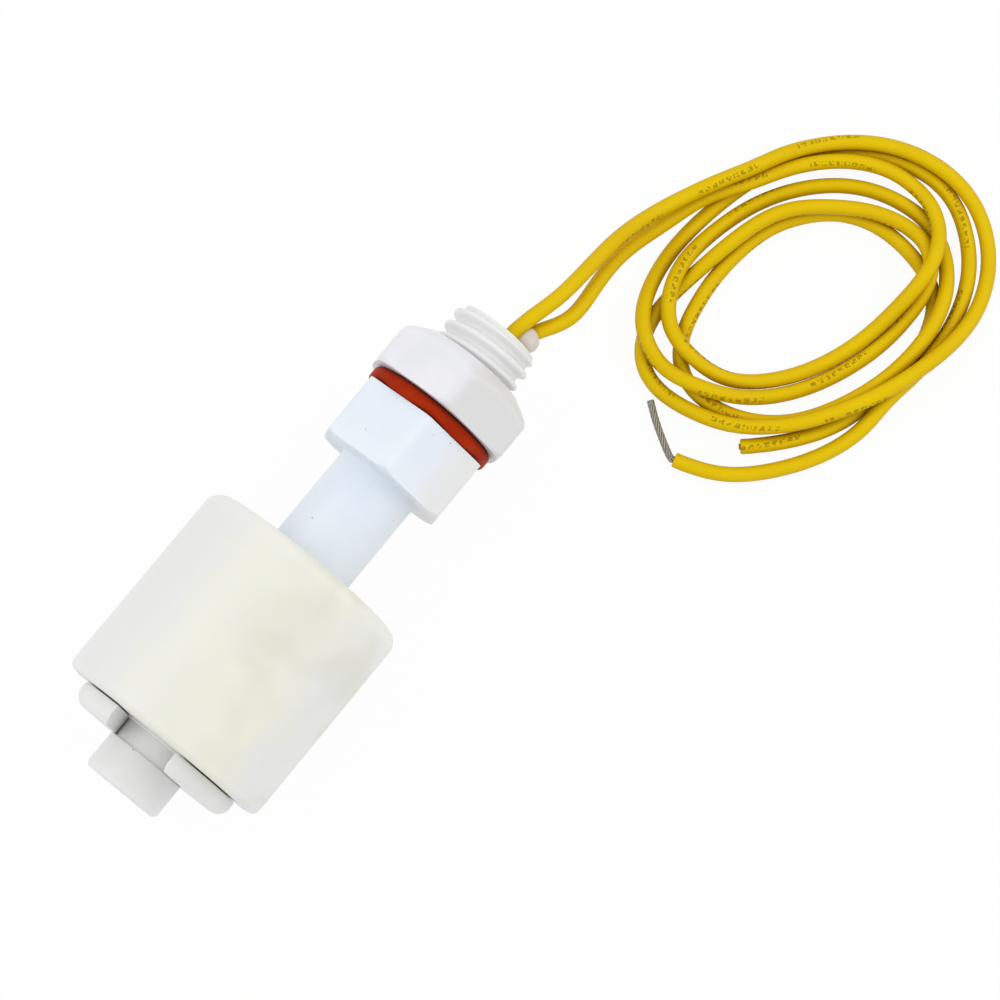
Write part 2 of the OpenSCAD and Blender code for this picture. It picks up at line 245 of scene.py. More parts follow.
def ring_angles(sides: int) -> np.ndarray:
    """Share a full turn out evenly."""
    return np.arange(sides) * math.tau / sides


def ring_faces(count: int, sides: int, closed: bool = False) -> Faces:
    """Join rings of points with four-cornered faces.

    Args:
        count: how many rings there are.
        sides: how many points each ring has.
        closed: whether the last ring joins the first; otherwise both ends are capped.

    Returns:
        The corner numbers of each face.
    """
    faces = [(i * sides + k, i * sides + (k + 1) % sides,
              (i + 1) % count * sides + (k + 1) % sides, (i + 1) % count * sides + k)
             for i in range(count if closed else count - 1) for k in range(sides)]
    if not closed:
        faces.append(tuple(range(sides - 1, -1, -1)))
        faces.append(tuple(range((count - 1) * sides, count * sides)))
    return faces


def in_scene(name: str, data: Optional[bpy.types.ID]) -> bpy.types.Object:
    """Make an object and link it to the scene.

    Args:
        name: the object's name.
        data: its mesh, curve, camera or lamp.

    Returns:
        The new object.
    """
    obj = bpy.data.objects.new(name, data)
    bpy.context.scene.collection.objects.link(obj)
    return obj


def new_piece(name: str, verts: np.ndarray, faces: Sequence[Sequence[int]],
              material: bpy.types.Material) -> bpy.types.Object:
    """Make a mesh piece with its place in its mesh.

    Args:
        name: the piece's name.
        verts: points in metres.
        faces: corner numbers of each face, turning so that the face looks outwards.
        material: the finish.

    Returns:
        The new object, linked to the scene.
    """
    mesh = bpy.data.meshes.new(name)
    mesh.from_pydata(verts.tolist(), [], [list(f) for f in faces])
    mesh.materials.append(material)
    mesh.polygons.foreach_set("use_smooth", [True] * len(mesh.polygons))
    mesh.set_sharp_from_angle(angle=SMOOTH_ANGLE)
    mesh.update()
    return in_scene(name, mesh)


def plain_mesh(obj: bpy.types.Object) -> bpy.types.Mesh:
    """Copy an object's evaluated shape into a plain mesh."""
    graph = bpy.context.evaluated_depsgraph_get()
    return bpy.data.meshes.new_from_object(obj.evaluated_get(graph))


def settle_piece(obj: bpy.types.Object, body: Body, nodes: Sequence[str]) -> None:
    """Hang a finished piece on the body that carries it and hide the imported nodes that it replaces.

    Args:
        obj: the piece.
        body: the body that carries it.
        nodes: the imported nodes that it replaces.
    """
    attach(obj, body.value)
    if nodes:
        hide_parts(*nodes)
    LOG.info("piece %s rides on %s, %d faces", obj.name, body.value, len(obj.data.polygons))


def beside_stem(at: float | np.ndarray, side: float | np.ndarray, up: float | np.ndarray) -> tuple:
    """Turn a place beside the stem into metres in the part's frame.

    Args:
        at: how far along the stem.
        side: how far from the axis towards +Y.
        up: how far above the axis.

    Returns:
        X, Y and Z.
    """
    return (at - MIDDLE_AT) * MM, side * MM, (AXIS_H + up) * MM


# Surfaces that run round the stem


@dataclass
class RoundSurface:
    """A closed surface built of rings round the stem's axis."""

    sides: int = 160
    rings: list = field(default_factory=list)

    def angles(self) -> np.ndarray:
        """Angles round the stem, from straight up towards +Y."""
        return ring_angles(self.sides)

    def ring(self, at: float, radius: float | np.ndarray) -> None:
        """Add one ring.

        Args:
            at: its place along the stem.
            radius: one radius, or one for each angle.
        """
        self.rings.append((np.full(self.sides, float(at)), np.broadcast_to(radius, self.sides)))

    def arc(self, at: float, radius: float, r: float, start: float, end: float,
            steps: int = 6) -> None:
        """Add rings along a rounded edge.

        Args:
            at: the arc's centre along the stem.
            radius: the arc's centre away from the axis.
            r: the arc's own radius.
            start: the first angle in degrees, nought pointing away from the axis.
            end: the last angle in degrees, 90 pointing towards the thread.
            steps: how many rings the arc is cut into.
        """
        for a in np.radians(np.linspace(start, end, steps + 1)):
            self.ring(at + r * math.sin(a), radius + r * math.cos(a))

    def mesh(self, name: str, material: bpy.types.Material, closed: bool) -> bpy.types.Object:
        """Join the rings into one closed piece.

        Args:
            name: the piece's name.
            material: its finish.
            closed: whether the last ring joins the first; otherwise both ends are capped.

        Returns:
            The piece.
        """
        a = self.angles()
        rows = [np.stack(beside_stem(at, radius * np.sin(a), radius * np.cos(a)), axis=1)
                for at, radius in self.rings]
        return new_piece(name, np.vstack(rows), ring_faces(len(rows), self.sides, closed), material)


@dataclass(frozen=True)
class HexOutline:
    """A hexagon round the stem, with slightly worn corners."""

    across_flats: float
    corner_deg: float
    corner_blend: float
    worn: float = 0.08

    @property
    def corner(self) -> float:
        """Radius of the sharp corners."""
        return self.across_flats / math.sqrt(3)

    def radii(self, angles: np.ndarray, limit: float, edge_blend: float) -> np.ndarray:
        """Radius at each angle, where a lathe has turned the hexagon down to a limit.

        Args:
            angles: angles round the stem, in radians.
            limit: the turned radius.
            edge_blend: how wide the rounded edge between flat and turned face is.

        Returns:
            The radii.
        """
        sixth = math.radians(60)
        off = np.mod(angles - math.radians(self.corner_deg), sixth) - sixth / 2
        flats = self.across_flats / 2 / np.cos(off)
        worn = soft_min(flats, self.corner - self.worn, self.corner_blend)
        return soft_min(worn, limit, edge_blend)


# Finishes


@dataclass(frozen=True)
class Finish:
    """What every finish shares: two colours in soft patches, with relief, gloss and constants.

    The span is the stretch of the patches over which the colours blend, all of it if there
    is none. The relief follows a grain of its own, or the patches where it has none. The
    roughness follows the patches where it has a swing. A patch's and a grain's size is the
    width of one, in millimetres.
    """

    name: str
    first: Hex
    second: Hex
    patch_mm: float
    detail: float = 3.0
    stretch: float = 1.0
    span: Optional[tuple] = None
    grain_mm: Optional[float] = None
    grain_detail: float = 2.0
    relief: float = 0.0
    relief_mm: float = 0.05
    roughness: float = 0.5
    swing: tuple = (0.0, 0.0)
    ior: float = 1.5
    gleam: float = 0.5
    metallic: float = 0.0
    see_through: float = 0.0
    scatter: float = 0.0
    scatter_colours: tuple = (1.0, 0.2, 0.1)
    scatter_mm: float = 50.0

    def colour(self, tree: bpy.types.NodeTree, coord: Socket, patch: Socket) -> Socket:
        """Blend the two colours, to which some finishes add more.

        Args:
            tree: the material's tree.
            coord: the object's own coordinates, not used here.
            patch: the patches, from nought to one.

        Returns:
            The surface's colour.
        """
        share = patch
        if self.span:
            low, high = self.span
            share = add(tree, "ShaderNodeMapRange",
                        {"Value": patch, "From Min": low, "From Max": high}).outputs[0]
        return add(tree, "ShaderNodeMix", {MIX_SHARE: share, MIX_FIRST: self.first,
                                           MIX_SECOND: self.second},
                   data_type="RGBA").outputs[MIX_RESULT]

    def build(self) -> bpy.types.Material:
        """Make the material.

        Returns:
            The material, with its shader fed by the finish's own nodes and values.
        """
        material = bpy.data.materials.new(self.name)
        material.use_nodes = True
        tree = material.node_tree
        coord = add(tree, "ShaderNodeTexCoord").outputs["Object"]
        place = coord
        if self.stretch != 1.0:
            place = add(tree, "ShaderNodeMapping",
                        {"Vector": coord, "Scale": (self.stretch, 1.0, 1.0)}).outputs[0]
        patch = add(tree, "ShaderNodeTexNoise", {"Vector": place, "Scale": 1 / (self.patch_mm * MM),
                                                 "Detail": self.detail}).outputs["Fac"]
        inputs = {"Base Color": self.colour(tree, coord, patch), "Roughness": self.roughness,
                  "IOR": self.ior, "Specular IOR Level": self.gleam, "Metallic": self.metallic,
                  "Transmission Weight": self.see_through, "Subsurface Weight": self.scatter,
                  "Subsurface Radius": self.scatter_colours, "Subsurface Scale": self.scatter_mm * MM}
        if any(self.swing):
            less, more = (self.roughness + way for way in self.swing)
            inputs["Roughness"] = add(tree, "ShaderNodeMapRange",
                                      {"Value": patch, "To Min": less, "To Max": more}).outputs[0]
        height = patch
        if self.grain_mm:
            height = add(tree, "ShaderNodeTexNoise", {"Vector": coord, "Scale": 1 / (self.grain_mm * MM),
                                                      "Detail": self.grain_detail}).outputs["Fac"]
        if self.relief:
            inputs["Normal"] = add(tree, "ShaderNodeBump", {"Height": height, "Strength": self.relief,
                                                            "Distance": self.relief_mm * MM}).outputs[0]
        feed(tree, tree.nodes["Principled BSDF"], inputs)
        return material


@dataclass(frozen=True)
class MouldedPlastic(Finish):
    """Injection-moulded polypropylene: waxy, slightly see-through, with a fine moulded grain.

    The real grain is too fine to show, so it is drawn coarser. With a plain colour the finish
    turns from that to its own tint in the middle of the stem, between four places along X and
    away from the -Y side. Along X the plain colour is the moulding's own tone; on the -Y side it
    is painted shade, away from the key lamp.
    """

    patch_mm: float = 6.0
    span: tuple = (0.35, 0.65)
    grain_mm: float = 0.35
    relief: float = 0.05
    roughness: float = 0.42
    swing: tuple = (-0.06, 0.08)
    ior: float = POLYPROPYLENE_IOR
    scatter: float = 0.25
    scatter_colours: tuple = (1.0, 0.9, 0.7)
    scatter_mm: float = 1.2
    plain: Optional[Hex] = None
    tint_span: tuple = (-16.0, -7.0, 17.0, 21.0)
    # Painted shade: where across Y the plain colour is laid as shade on the -Y side
    painted_shade_side: tuple = (-6.5, -3.0)
    speck: Optional[Hex] = None
    speck_mm: float = 1.7
    speck_size: float = 0.045

    def tint_share(self, tree: bpy.types.NodeTree, coord: Socket) -> Socket:
        """Tell how much of the own tint shows at each place.

        Args:
            tree: the material's tree.
            coord: the object's own coordinates.

        Returns:
            A socket from nought, where the plain colour shows, to one.
        """
        axes = add(tree, "ShaderNodeSeparateXYZ", {0: coord}).outputs
        start, full, wane, end = self.tint_span
        # The side factor lays the plain colour as painted shade on the -Y side; the two X factors give the
        # moulding's own tone
        low, high = self.painted_shade_side
        rise, fall, side = (
            add(tree, "ShaderNodeMapRange", {"Value": axes[axis], "From Min": a * MM, "From Max": b * MM},
                interpolation_type="SMOOTHSTEP").outputs[0]
            for axis, a, b in (("X", start, full), ("X", end, wane), ("Y", low, high)))
        return formula(tree, rise, ("MULTIPLY", fall), ("MULTIPLY", side))

    def colour(self, tree: bpy.types.NodeTree, coord: Socket, patch: Socket) -> Socket:
        """Add the plain colour and the specks to the blend.

        Args:
            tree: the material's tree.
            coord: the object's own coordinates.
            patch: the patches, from nought to one.

        Returns:
            The surface's colour.
        """
        colour = super().colour(tree, coord, patch)
        if self.plain:
            share = self.tint_share(tree, coord)
            colour = add(tree, "ShaderNodeMix", {MIX_SHARE: share, MIX_FIRST: self.plain,
                                                 MIX_SECOND: colour},
                         data_type="RGBA").outputs[MIX_RESULT]
        if self.speck:
            dust = add(tree, "ShaderNodeTexVoronoi", {"Vector": coord, "Scale": 1 / (self.speck_mm * MM)})
            near = formula(tree, dust.outputs["Distance"], ("LESS_THAN", self.speck_size))
            colour = add(tree, "ShaderNodeMix", {MIX_SHARE: near, MIX_FIRST: colour,
                                                 MIX_SECOND: self.speck},
                         data_type="RGBA").outputs[MIX_RESULT]
        return colour


@dataclass(frozen=True)
class FloatPlastic(Finish):
    """Natural polypropylene of the hollow float: cloudy cream, paler towards both sides.

    Its patches are slow ripples along the stem, which give it uneven highlights. The colour
    keeps its own clouds, and painted shade in darker blots on the -Y side, away from the key lamp.
    """

    name: str = "PolypropyleneCream"
    first: Hex = "#E9E9E7"
    second: Hex = "#ECECDE"
    # Painted shade: a darker colour laid in blots on the -Y side, away from the key lamp
    shade_blot: Hex = "#DADACC"
    patch_mm: float = 3.0
    stretch: float = 0.35
    relief: float = 0.25
    relief_mm: float = 0.12
    roughness: float = 0.34
    swing: tuple = (0.0, 0.16)
    ior: float = POLYPROPYLENE_IOR
    scatter: float = 0.35
    scatter_colours: tuple = (1.0, 0.95, 0.7)
    scatter_mm: float = 2.0
    cream_at: float = -1.5
    cream_half: float = 9.5
    cream_full: float = 4.75
    cream_most: float = 0.8
    cloud_mm: float = 9.0
    cloud_swing: float = 0.35
    cloud_span: tuple = (0.3, 0.7)
    cloud_detail: float = 4.0
    cloud_swirl: float = 0.8
    # Size, spread and strength of the painted shade blots, and where across Y they lie
    shade_blot_mm: float = 6.5
    shade_blot_span: tuple = (0.36, 0.7)
    shade_blot_detail: float = 1.0
    shade_blot_swirl: float = 0.3
    shade_blot_side: tuple = (3.0, -5.0)
    shade_blot_most: float = 0.65

    def colour(self, tree: bpy.types.NodeTree, coord: Socket, patch: Socket) -> Socket:
        """Lay cream clouds and blots of painted shade instead of the patches.

        Args:
            tree: the material's tree.
            coord: the object's own coordinates.
            patch: the ripples, which the colour doesn't follow.

        Returns:
            The surface's colour.
        """
        across = add(tree, "ShaderNodeSeparateXYZ", {0: coord}).outputs["Y"]
        away = formula(tree, across, ("ADD", -self.cream_at * MM), ("ABSOLUTE",))
        start, full = self.shade_blot_side
        lean, far = (add(tree, "ShaderNodeMapRange", {"Value": value, "From Min": a * MM,
                                                      "From Max": b * MM, "To Max": most},
                         interpolation_type="SMOOTHSTEP").outputs[0]
                     for value, a, b, most in (
                         (away, self.cream_half, self.cream_full, self.cream_most),
                         (across, start, full, self.shade_blot_most)))
        cloud, blot = (add(tree, "ShaderNodeTexNoise",
                           {"Vector": coord, "Scale": 1 / (size * MM), "Detail": detail,
                            "Distortion": swirl}).outputs["Fac"]
                       for size, detail, swirl in (
                           (self.cloud_mm, self.cloud_detail, self.cloud_swirl),
                           (self.shade_blot_mm, self.shade_blot_detail, self.shade_blot_swirl)))
        (thin, thick), (unshaded_at, shaded_at) = self.cloud_span, self.shade_blot_span
        swing = add(tree, "ShaderNodeMapRange", {"Value": cloud, "From Min": thin, "From Max": thick,
                                                 "To Min": -self.cloud_swing, "To Max": self.cloud_swing})
        cream = add(tree, "ShaderNodeMath", {0: lean, 1: swing.outputs[0]}, operation="ADD", use_clamp=True)
        # The blots of painted shade, strongest on the -Y side
        spot = add(tree, "ShaderNodeMapRange", {"Value": blot, "From Min": unshaded_at, "From Max": shaded_at},
                   interpolation_type="SMOOTHSTEP").outputs[0]
        tint = add(tree, "ShaderNodeMix", {MIX_SHARE: cream.outputs[0], MIX_FIRST: self.first,
                                           MIX_SECOND: self.second},
                   data_type="RGBA").outputs[MIX_RESULT]
        return add(tree, "ShaderNodeMix", {MIX_SHARE: formula(tree, spot, ("MULTIPLY", far)),
                                           MIX_FIRST: tint, MIX_SECOND: self.shade_blot},
                   data_type="RGBA").outputs[MIX_RESULT]


@dataclass(frozen=True)
class SiliconeRubber(Finish):
    """Moulded silicone of the gasket: saturated red, matt and dusty, with painted shade where flange and
    nut close round it.

    Real dust is too fine to show, so it is drawn coarser.
    """

    name: str = "SiliconeRed"
    first: Hex = "#8A1600"
    second: Hex = "#B83400"
    # Painted shade: the dark red laid by ambient occlusion where the gasket is closed in
    painted_shade: Hex = "#4E0800"
    patch_mm: float = 2.5
    grain_mm: float = 0.12
    relief: float = 0.2
    relief_mm: float = 0.04
    roughness: float = 0.55
    ior: float = 1.43
    gleam: float = 0.1
    gap_mm: float = 0.9

    def colour(self, tree: bpy.types.NodeTree, coord: Socket, patch: Socket) -> Socket:
        """Paint shade into the blend where the rubber is shut in.

        Args:
            tree: the material's tree.
            coord: the object's own coordinates.
            patch: the patches, from nought to one.

        Returns:
            The surface's colour.
        """
        # Ambient occlusion paints shade into the rubber where flange and nut close round it
        free = add(tree, "ShaderNodeAmbientOcclusion", {"Distance": self.gap_mm * MM}, samples=GAP_RAYS)
        tint = super().colour(tree, coord, patch)
        return add(tree, "ShaderNodeMix", {MIX_SHARE: free.outputs["AO"], MIX_FIRST: self.painted_shade,
                                           MIX_SECOND: tint},
                   data_type="RGBA").outputs[MIX_RESULT]


@dataclass(frozen=True)
class WireInsulation(Finish):
    """Extruded vinyl insulation: satin yellow, with painted shade at its edges and between wires.

    A broken line of dark marks stands for its print and spells nothing. It reads the wire's
    own map, which runs in turns round the wire and in millimetres along it.
    """

    name: str = "VinylYellow"
    first: Hex = "#E8C900"
    second: Hex = "#DDB800"
    # Painted shade: the brown laid at the wire's grazing edges and in the gaps between wires
    edge: Hex = "#BC9000"
    ink: Hex = "#5E4200"
    patch_mm: float = 7.0
    detail: float = 2.0
    grain_mm: float = 1.4
    grain_detail: float = 1.0
    relief: float = 0.12
    roughness: float = 0.38
    ior: float = 1.53
    gleam: float = 0.08
    scatter: float = 0.1
    scatter_colours: tuple = (1.0, 0.7, 0.05)
    scatter_mm: float = 0.4
    # How far the painted shade between wires reaches, and how it follows the grazing edges
    gap_mm: float = 1.2
    slant_blend: float = 0.45
    slant_share: float = 0.75
    ink_share: float = 0.52
    group_mm: float = 11.5
    printed_share: float = 0.6
    mark_mm: float = 0.8
    mark_share: float = 0.72
    top_turn: float = 0.25
    drift: float = 0.27
    drift_rate: float = 0.047
    half_band: float = 0.05
    worn_across: float = 14.0
    worn_along: float = 2.9
    worn_below: float = 0.47

    def print_share(self, tree: bpy.types.NodeTree) -> Socket:
        """Draw the print.

        Args:
            tree: the material's tree.

        Returns:
            How much ink shows at each place.
        """
        uv = add(tree, "ShaderNodeUVMap", uv_map="wire").outputs[0]
        axes = add(tree, "ShaderNodeSeparateXYZ", {0: uv}).outputs
        turn, run = axes["X"], axes["Y"]
        sway = formula(tree, run, ("MULTIPLY", self.drift_rate), ("SINE",), ("MULTIPLY", self.drift))
        band = formula(tree, turn, ("SUBTRACT", self.top_turn), ("SUBTRACT", sway), ("ABSOLUTE",),
                       ("LESS_THAN", self.half_band))
        group, mark = (formula(tree, run, ("DIVIDE", length), ("FRACT",), ("LESS_THAN", share))
                       for length, share in ((self.group_mm, self.printed_share),
                                             (self.mark_mm, self.mark_share)))
        flat = add(tree, "ShaderNodeCombineXYZ", {0: formula(tree, turn, ("MULTIPLY", self.worn_across)),
                                                  1: formula(tree, run, ("MULTIPLY", self.worn_along))})
        worn = add(tree, "ShaderNodeTexNoise", {"Vector": flat.outputs[0], "Scale": 1.0, "Detail": 1.0},
                   noise_dimensions="2D").outputs["Fac"]
        whole = formula(tree, worn, ("GREATER_THAN", self.worn_below))
        marks = formula(tree, mark, ("MULTIPLY", whole))
        return formula(tree, band, *(("MULTIPLY", part) for part in (group, marks, self.ink_share)))

    def colour(self, tree: bpy.types.NodeTree, coord: Socket, patch: Socket) -> Socket:
        """Paint shade into the blend at the wire's edges and between wires, and print on it.

        Args:
            tree: the material's tree.
            coord: the object's own coordinates.
            patch: the patches, from nought to one.

        Returns:
            The surface's colour.
        """
        # Painted shade: the facing angle darkens the grazing edges, and ambient occlusion darkens the gaps
        # between wires
        slant = add(tree, "ShaderNodeLayerWeight", {"Blend": self.slant_blend}).outputs["Facing"]
        free = add(tree, "ShaderNodeAmbientOcclusion", {"Distance": self.gap_mm * MM}, samples=GAP_RAYS)
        shut = formula(tree, 1.0, ("SUBTRACT", free.outputs["AO"]))
        painted_shade_share = formula(tree, slant, ("MULTIPLY", self.slant_share), ("MAXIMUM", shut))
        colour = super().colour(tree, coord, patch)
        for share, over in ((painted_shade_share, self.edge), (self.print_share(tree), self.ink)):
            colour = add(tree, "ShaderNodeMix", {MIX_SHARE: share, MIX_FIRST: colour,
                                                 MIX_SECOND: over},
                         data_type="RGBA").outputs[MIX_RESULT]
        return colour


@dataclass(frozen=True)
class CastResin(Finish):
    """Cast epoxy: glossy, half clear, clouded by small bubbles.

    Single bubbles are too fine to show, so they are drawn as clouds about a millimetre wide.
    """

    patch_mm: float = 1.1
    detail: float = 4.0
    relief: float = 0.3
    relief_mm: float = 0.1
    roughness: float = 0.14
    ior: float = 1.54
    see_through: float = 0.35
    scatter: float = 0.3
    scatter_colours: tuple = (1.0, 0.8, 0.6)
    scatter_mm: float = 0.8


@dataclass(frozen=True)
class PlainMetal(Finish):
    """A bare metal: streaks of tarnish and uneven gloss along the stem.

    The marks of drawing are too fine to show, so the streaks are drawn coarser.
    """

    patch_mm: float = 0.25
    stretch: float = 0.15
    swing: tuple = (-0.08, 0.12)
    metallic: float = 1.0


@dataclass(frozen=True)
class DarkSolid(Finish):
    """A dark sealed material with a paler fleck: sintered ferrite or shrink sleeve.

    The real grain is too fine to show, so it is drawn coarser.
    """

    detail: float = 5.0
    span: tuple = (0.5, 0.75)
    relief: float = 0.3


@dataclass(frozen=True)
class CapsuleGlass(Finish):
    """Drawn soda glass of the reed capsule: clear, faintly green, with slow smoky streaks."""

    name: str = "SodaGlassGreen"
    first: Hex = "#D5E6DB"
    second: Hex = "#A9C4B4"
    patch_mm: float = 1.5
    detail: float = 2.0
    roughness: float = 0.03
    see_through: float = 0.95


@dataclass(frozen=True)
class Palette:
    """Every finish of the part, built once."""

    stem: bpy.types.Material
    clip: bpy.types.Material
    nut: bpy.types.Material
    float_skin: bpy.types.Material
    gasket: bpy.types.Material
    insulation: bpy.types.Material
    resin: bpy.types.Material
    bead: bpy.types.Material
    tinned: bpy.types.Material
    copper: bpy.types.Material
    solder: bpy.types.Material
    reed: bpy.types.Material
    glass: bpy.types.Material
    ferrite: bpy.types.Material
    sleeve: bpy.types.Material

    @classmethod
    def build(cls) -> "Palette":
        """Make every material.

        Returns:
            The palette.
        """
        return cls(
            # The stem's plain grey is its own tone at the tip and the thread, and painted shade on the -Y
            # side
            stem=MouldedPlastic("PolypropyleneBluishWhite", "#E8EFF7", "#E2EAF4",
                                scatter=0.4, speck="#9AA3AF", plain="#E6E6E6").build(),
            clip=MouldedPlastic("PolypropyleneWhite", "#ECEDEC", "#E6E7E5").build(),
            # The nut's plain grey shows only on its -Y half, as painted shade on the facets away from the
            # key lamp
            nut=MouldedPlastic("PolypropyleneNutWhite", "#ECECF1", "#E5E6EB", plain="#DCDCDC",
                               painted_shade_side=(-2.8, -0.4), tint_span=(0.0, 1.0, 40.0, 41.0)).build(),
            float_skin=FloatPlastic().build(),
            gasket=SiliconeRubber().build(),
            insulation=WireInsulation().build(),
            resin=CastResin("EpoxyBeige", "#E0D2B4", "#CDBB95").build(),
            bead=CastResin("EpoxyClearBead", "#F7F1EA", "#EFE2D8", see_through=0.3).build(),
            tinned=PlainMetal("TinnedCopperDull", "#ABA899", "#7B786B", roughness=0.42).build(),
            copper=PlainMetal("CopperStranded", "#C98A58", "#9A5F38", roughness=0.35).build(),
            solder=PlainMetal("SolderTin", "#C6C7C2", "#A3A49E", roughness=0.4).build(),
            reed=PlainMetal("NickelIron", "#CDBB8C", "#B3A273", roughness=0.3).build(),
            glass=CapsuleGlass().build(),
            ferrite=DarkSolid("FerriteSintered", "#38383B", "#5A5A60", 0.3, roughness=0.6).build(),
            sleeve=DarkSolid("SleevePolyolefin", "#232323", "#343434", 0.15, roughness=0.5).build(),
        )


# Geometry Nodes


class NodeTool:
    """A Geometry Nodes tree with named inputs, which is run once and leaves a plain mesh."""

    def __init__(self, name: str, kinds: dict[str, str]) -> None:
        """Start a tree.

        Args:
            name: the name of the tree and of the piece that it makes.
            kinds: the kind of each input, by the input's name.
        """
        self.name = name
        self.tree = bpy.data.node_groups.new(name, "GeometryNodeTree")
        face = self.tree.interface
        self.sockets = {key: face.new_socket(key, in_out="INPUT", socket_type="NodeSocket" + kind)
                        for key, kind in kinds.items()}
        face.new_socket("Geometry", in_out="OUTPUT", socket_type="NodeSocketGeometry")
        self.given = add(self.tree, "NodeGroupInput").outputs

    def run(self, shape: bpy.types.Node, data: bpy.types.ID, values: dict) -> bpy.types.Object:
        """End the tree in real geometry with its material, and run it.

        Args:
            shape: the node that makes the shape.
            data: the mesh or curve to start from.
            values: the value of each input, by its name.

        Returns:
            The piece, as a plain mesh.
        """
        solid = add(self.tree, "GeometryNodeRealizeInstances", {0: shape.outputs[0]})
        dress = add(self.tree, "GeometryNodeSetMaterial",
                    {"Geometry": solid.outputs[0], "Material": self.given["Material"]})
        add(self.tree, "NodeGroupOutput", {0: dress.outputs[0]})
        guide = in_scene(self.name + "Guide", data)
        mod = guide.modifiers.new("nodes", "NODES")
        mod.node_group = self.tree
        for key, value in values.items():
            mod[self.sockets[key].identifier] = value
        mesh = plain_mesh(guide)
        bpy.data.objects.remove(guide)
        return in_scene(self.name, mesh)


@dataclass
class RibRing:
    """Ribs that stand round the float's inner tube."""

    count: int = 6
    tube_r: float = 5.8
    rib_r: float = 8.2
    sunk: float = 0.3
    thickness: float = 1.0
    low: float = 14.3
    high: float = 28.1

    def build(self, material: bpy.types.Material) -> bpy.types.Object:
        """Make the ribs as one plain mesh.

        Args:
            material: the float's plastic.

        Returns:
            The piece that holds every rib.
        """
        tool = NodeTool("FloatRibs", {"Count": "Int", "Middle Radius": "Float", "Rib Size": "Vector",
                                      "Centre": "Vector", "Material": "Material"})
        tree, given = tool.tree, tool.given
        ring = add(tree, "GeometryNodeMeshCircle",
                   {"Vertices": given["Count"], "Radius": given["Middle Radius"]})
        place = add(tree, "GeometryNodeInputPosition")
        facing = add(tree, "FunctionNodeAlignRotationToVector", {"Vector": place.outputs[0]},
                     axis="X", pivot_axis="Z")
        rib = add(tree, "GeometryNodeMeshCube", {"Size": given["Rib Size"]})
        many = add(tree, "GeometryNodeInstanceOnPoints",
                   {"Points": ring.outputs[0], "Instance": rib.outputs[0], "Rotation": facing.outputs[0]})
        laid = add(tree, "GeometryNodeTransform",
                   {"Geometry": many.outputs[0], "Translation": given["Centre"],
                    "Rotation": (0.0, math.pi / 2, 0.0)})
        return tool.run(laid, bpy.data.meshes.new("FloatRibs"), {
            "Count": self.count,
            "Middle Radius": (self.tube_r + self.rib_r) / 2 * MM,
            "Rib Size": ((self.rib_r - self.tube_r + self.sunk) * MM, self.thickness * MM,
                         (self.high - self.low) * MM),
            "Centre": beside_stem((self.low + self.high) / 2, 0.0, 0.0),
            "Material": material})


@dataclass
class StrandBundle:
    """Fine strands twisted round a path."""

    name: str
    strands: int = 7
    bundle_r: float = 0.27
    strand_r: float = 0.12
    turns: float = 1.6
    strand_sides: int = 8

    def guide_curve(self, path: np.ndarray) -> bpy.types.Curve:
        """Turn a path in millimetres into a curve of straight pieces.

        Args:
            path: the bundle's middle line.

        Returns:
            The curve.
        """
        curve = bpy.data.curves.new(self.name, "CURVE")
        curve.dimensions = "3D"
        spline = curve.splines.new("POLY")
        spline.points.add(len(path) - 1)
        for point, place in zip(spline.points, path):
            point.co = (*(float(v) * MM for v in place), 1.0)
        return curve

    def build(self, path: np.ndarray, material: bpy.types.Material) -> bpy.types.Object:
        """Make the bundle of strands as one plain mesh.

        Args:
            path: the bundle's middle line in millimetres.
            material: the metal.

        Returns:
            The bundle.
        """
        tool = NodeTool(self.name, {"Geometry": "Geometry", "Strands": "Int", "Bundle Radius": "Float",
                                    "Strand Radius": "Float", "Turns": "Float", "Material": "Material"})
        tree, given = tool.tree, tool.given
        copies = add(tree, "GeometryNodeDuplicateElements",
                     {"Geometry": given["Geometry"], "Amount": given["Strands"]}, domain="SPLINE")
        share = formula(tree, copies.outputs["Duplicate Index"], ("DIVIDE", given["Strands"]))
        along = add(tree, "GeometryNodeSplineParameter").outputs["Factor"]
        angle = formula(tree, along, ("MULTIPLY_ADD", given["Turns"], share), ("MULTIPLY", math.tau))
        normal, tangent = (add(tree, "GeometryNodeInput" + kind) for kind in ("Normal", "Tangent"))
        swing = add(tree, "ShaderNodeVectorRotate",
                    {"Vector": normal.outputs[0], "Axis": tangent.outputs[0], "Angle": angle})
        offset = add(tree, "ShaderNodeVectorMath",
                     {0: swing.outputs[0], "Scale": given["Bundle Radius"]}, operation="SCALE")
        wind = add(tree, "GeometryNodeSetPosition",
                   {"Geometry": copies.outputs[0], "Offset": offset.outputs[0]})
        profile = add(tree, "GeometryNodeCurvePrimitiveCircle",
                      {"Resolution": self.strand_sides, "Radius": given["Strand Radius"]})
        tube = add(tree, "GeometryNodeCurveToMesh",
                   {"Curve": wind.outputs[0], "Profile Curve": profile.outputs[0], "Fill Caps": True})
        obj = tool.run(tube, self.guide_curve(path), {
            "Strands": self.strands, "Bundle Radius": self.bundle_r * MM,
            "Strand Radius": self.strand_r * MM, "Turns": self.turns, "Material": material})
        obj.data.polygons.foreach_set("use_smooth", [True] * len(obj.data.polygons))
        return obj


# Pieces on the stem


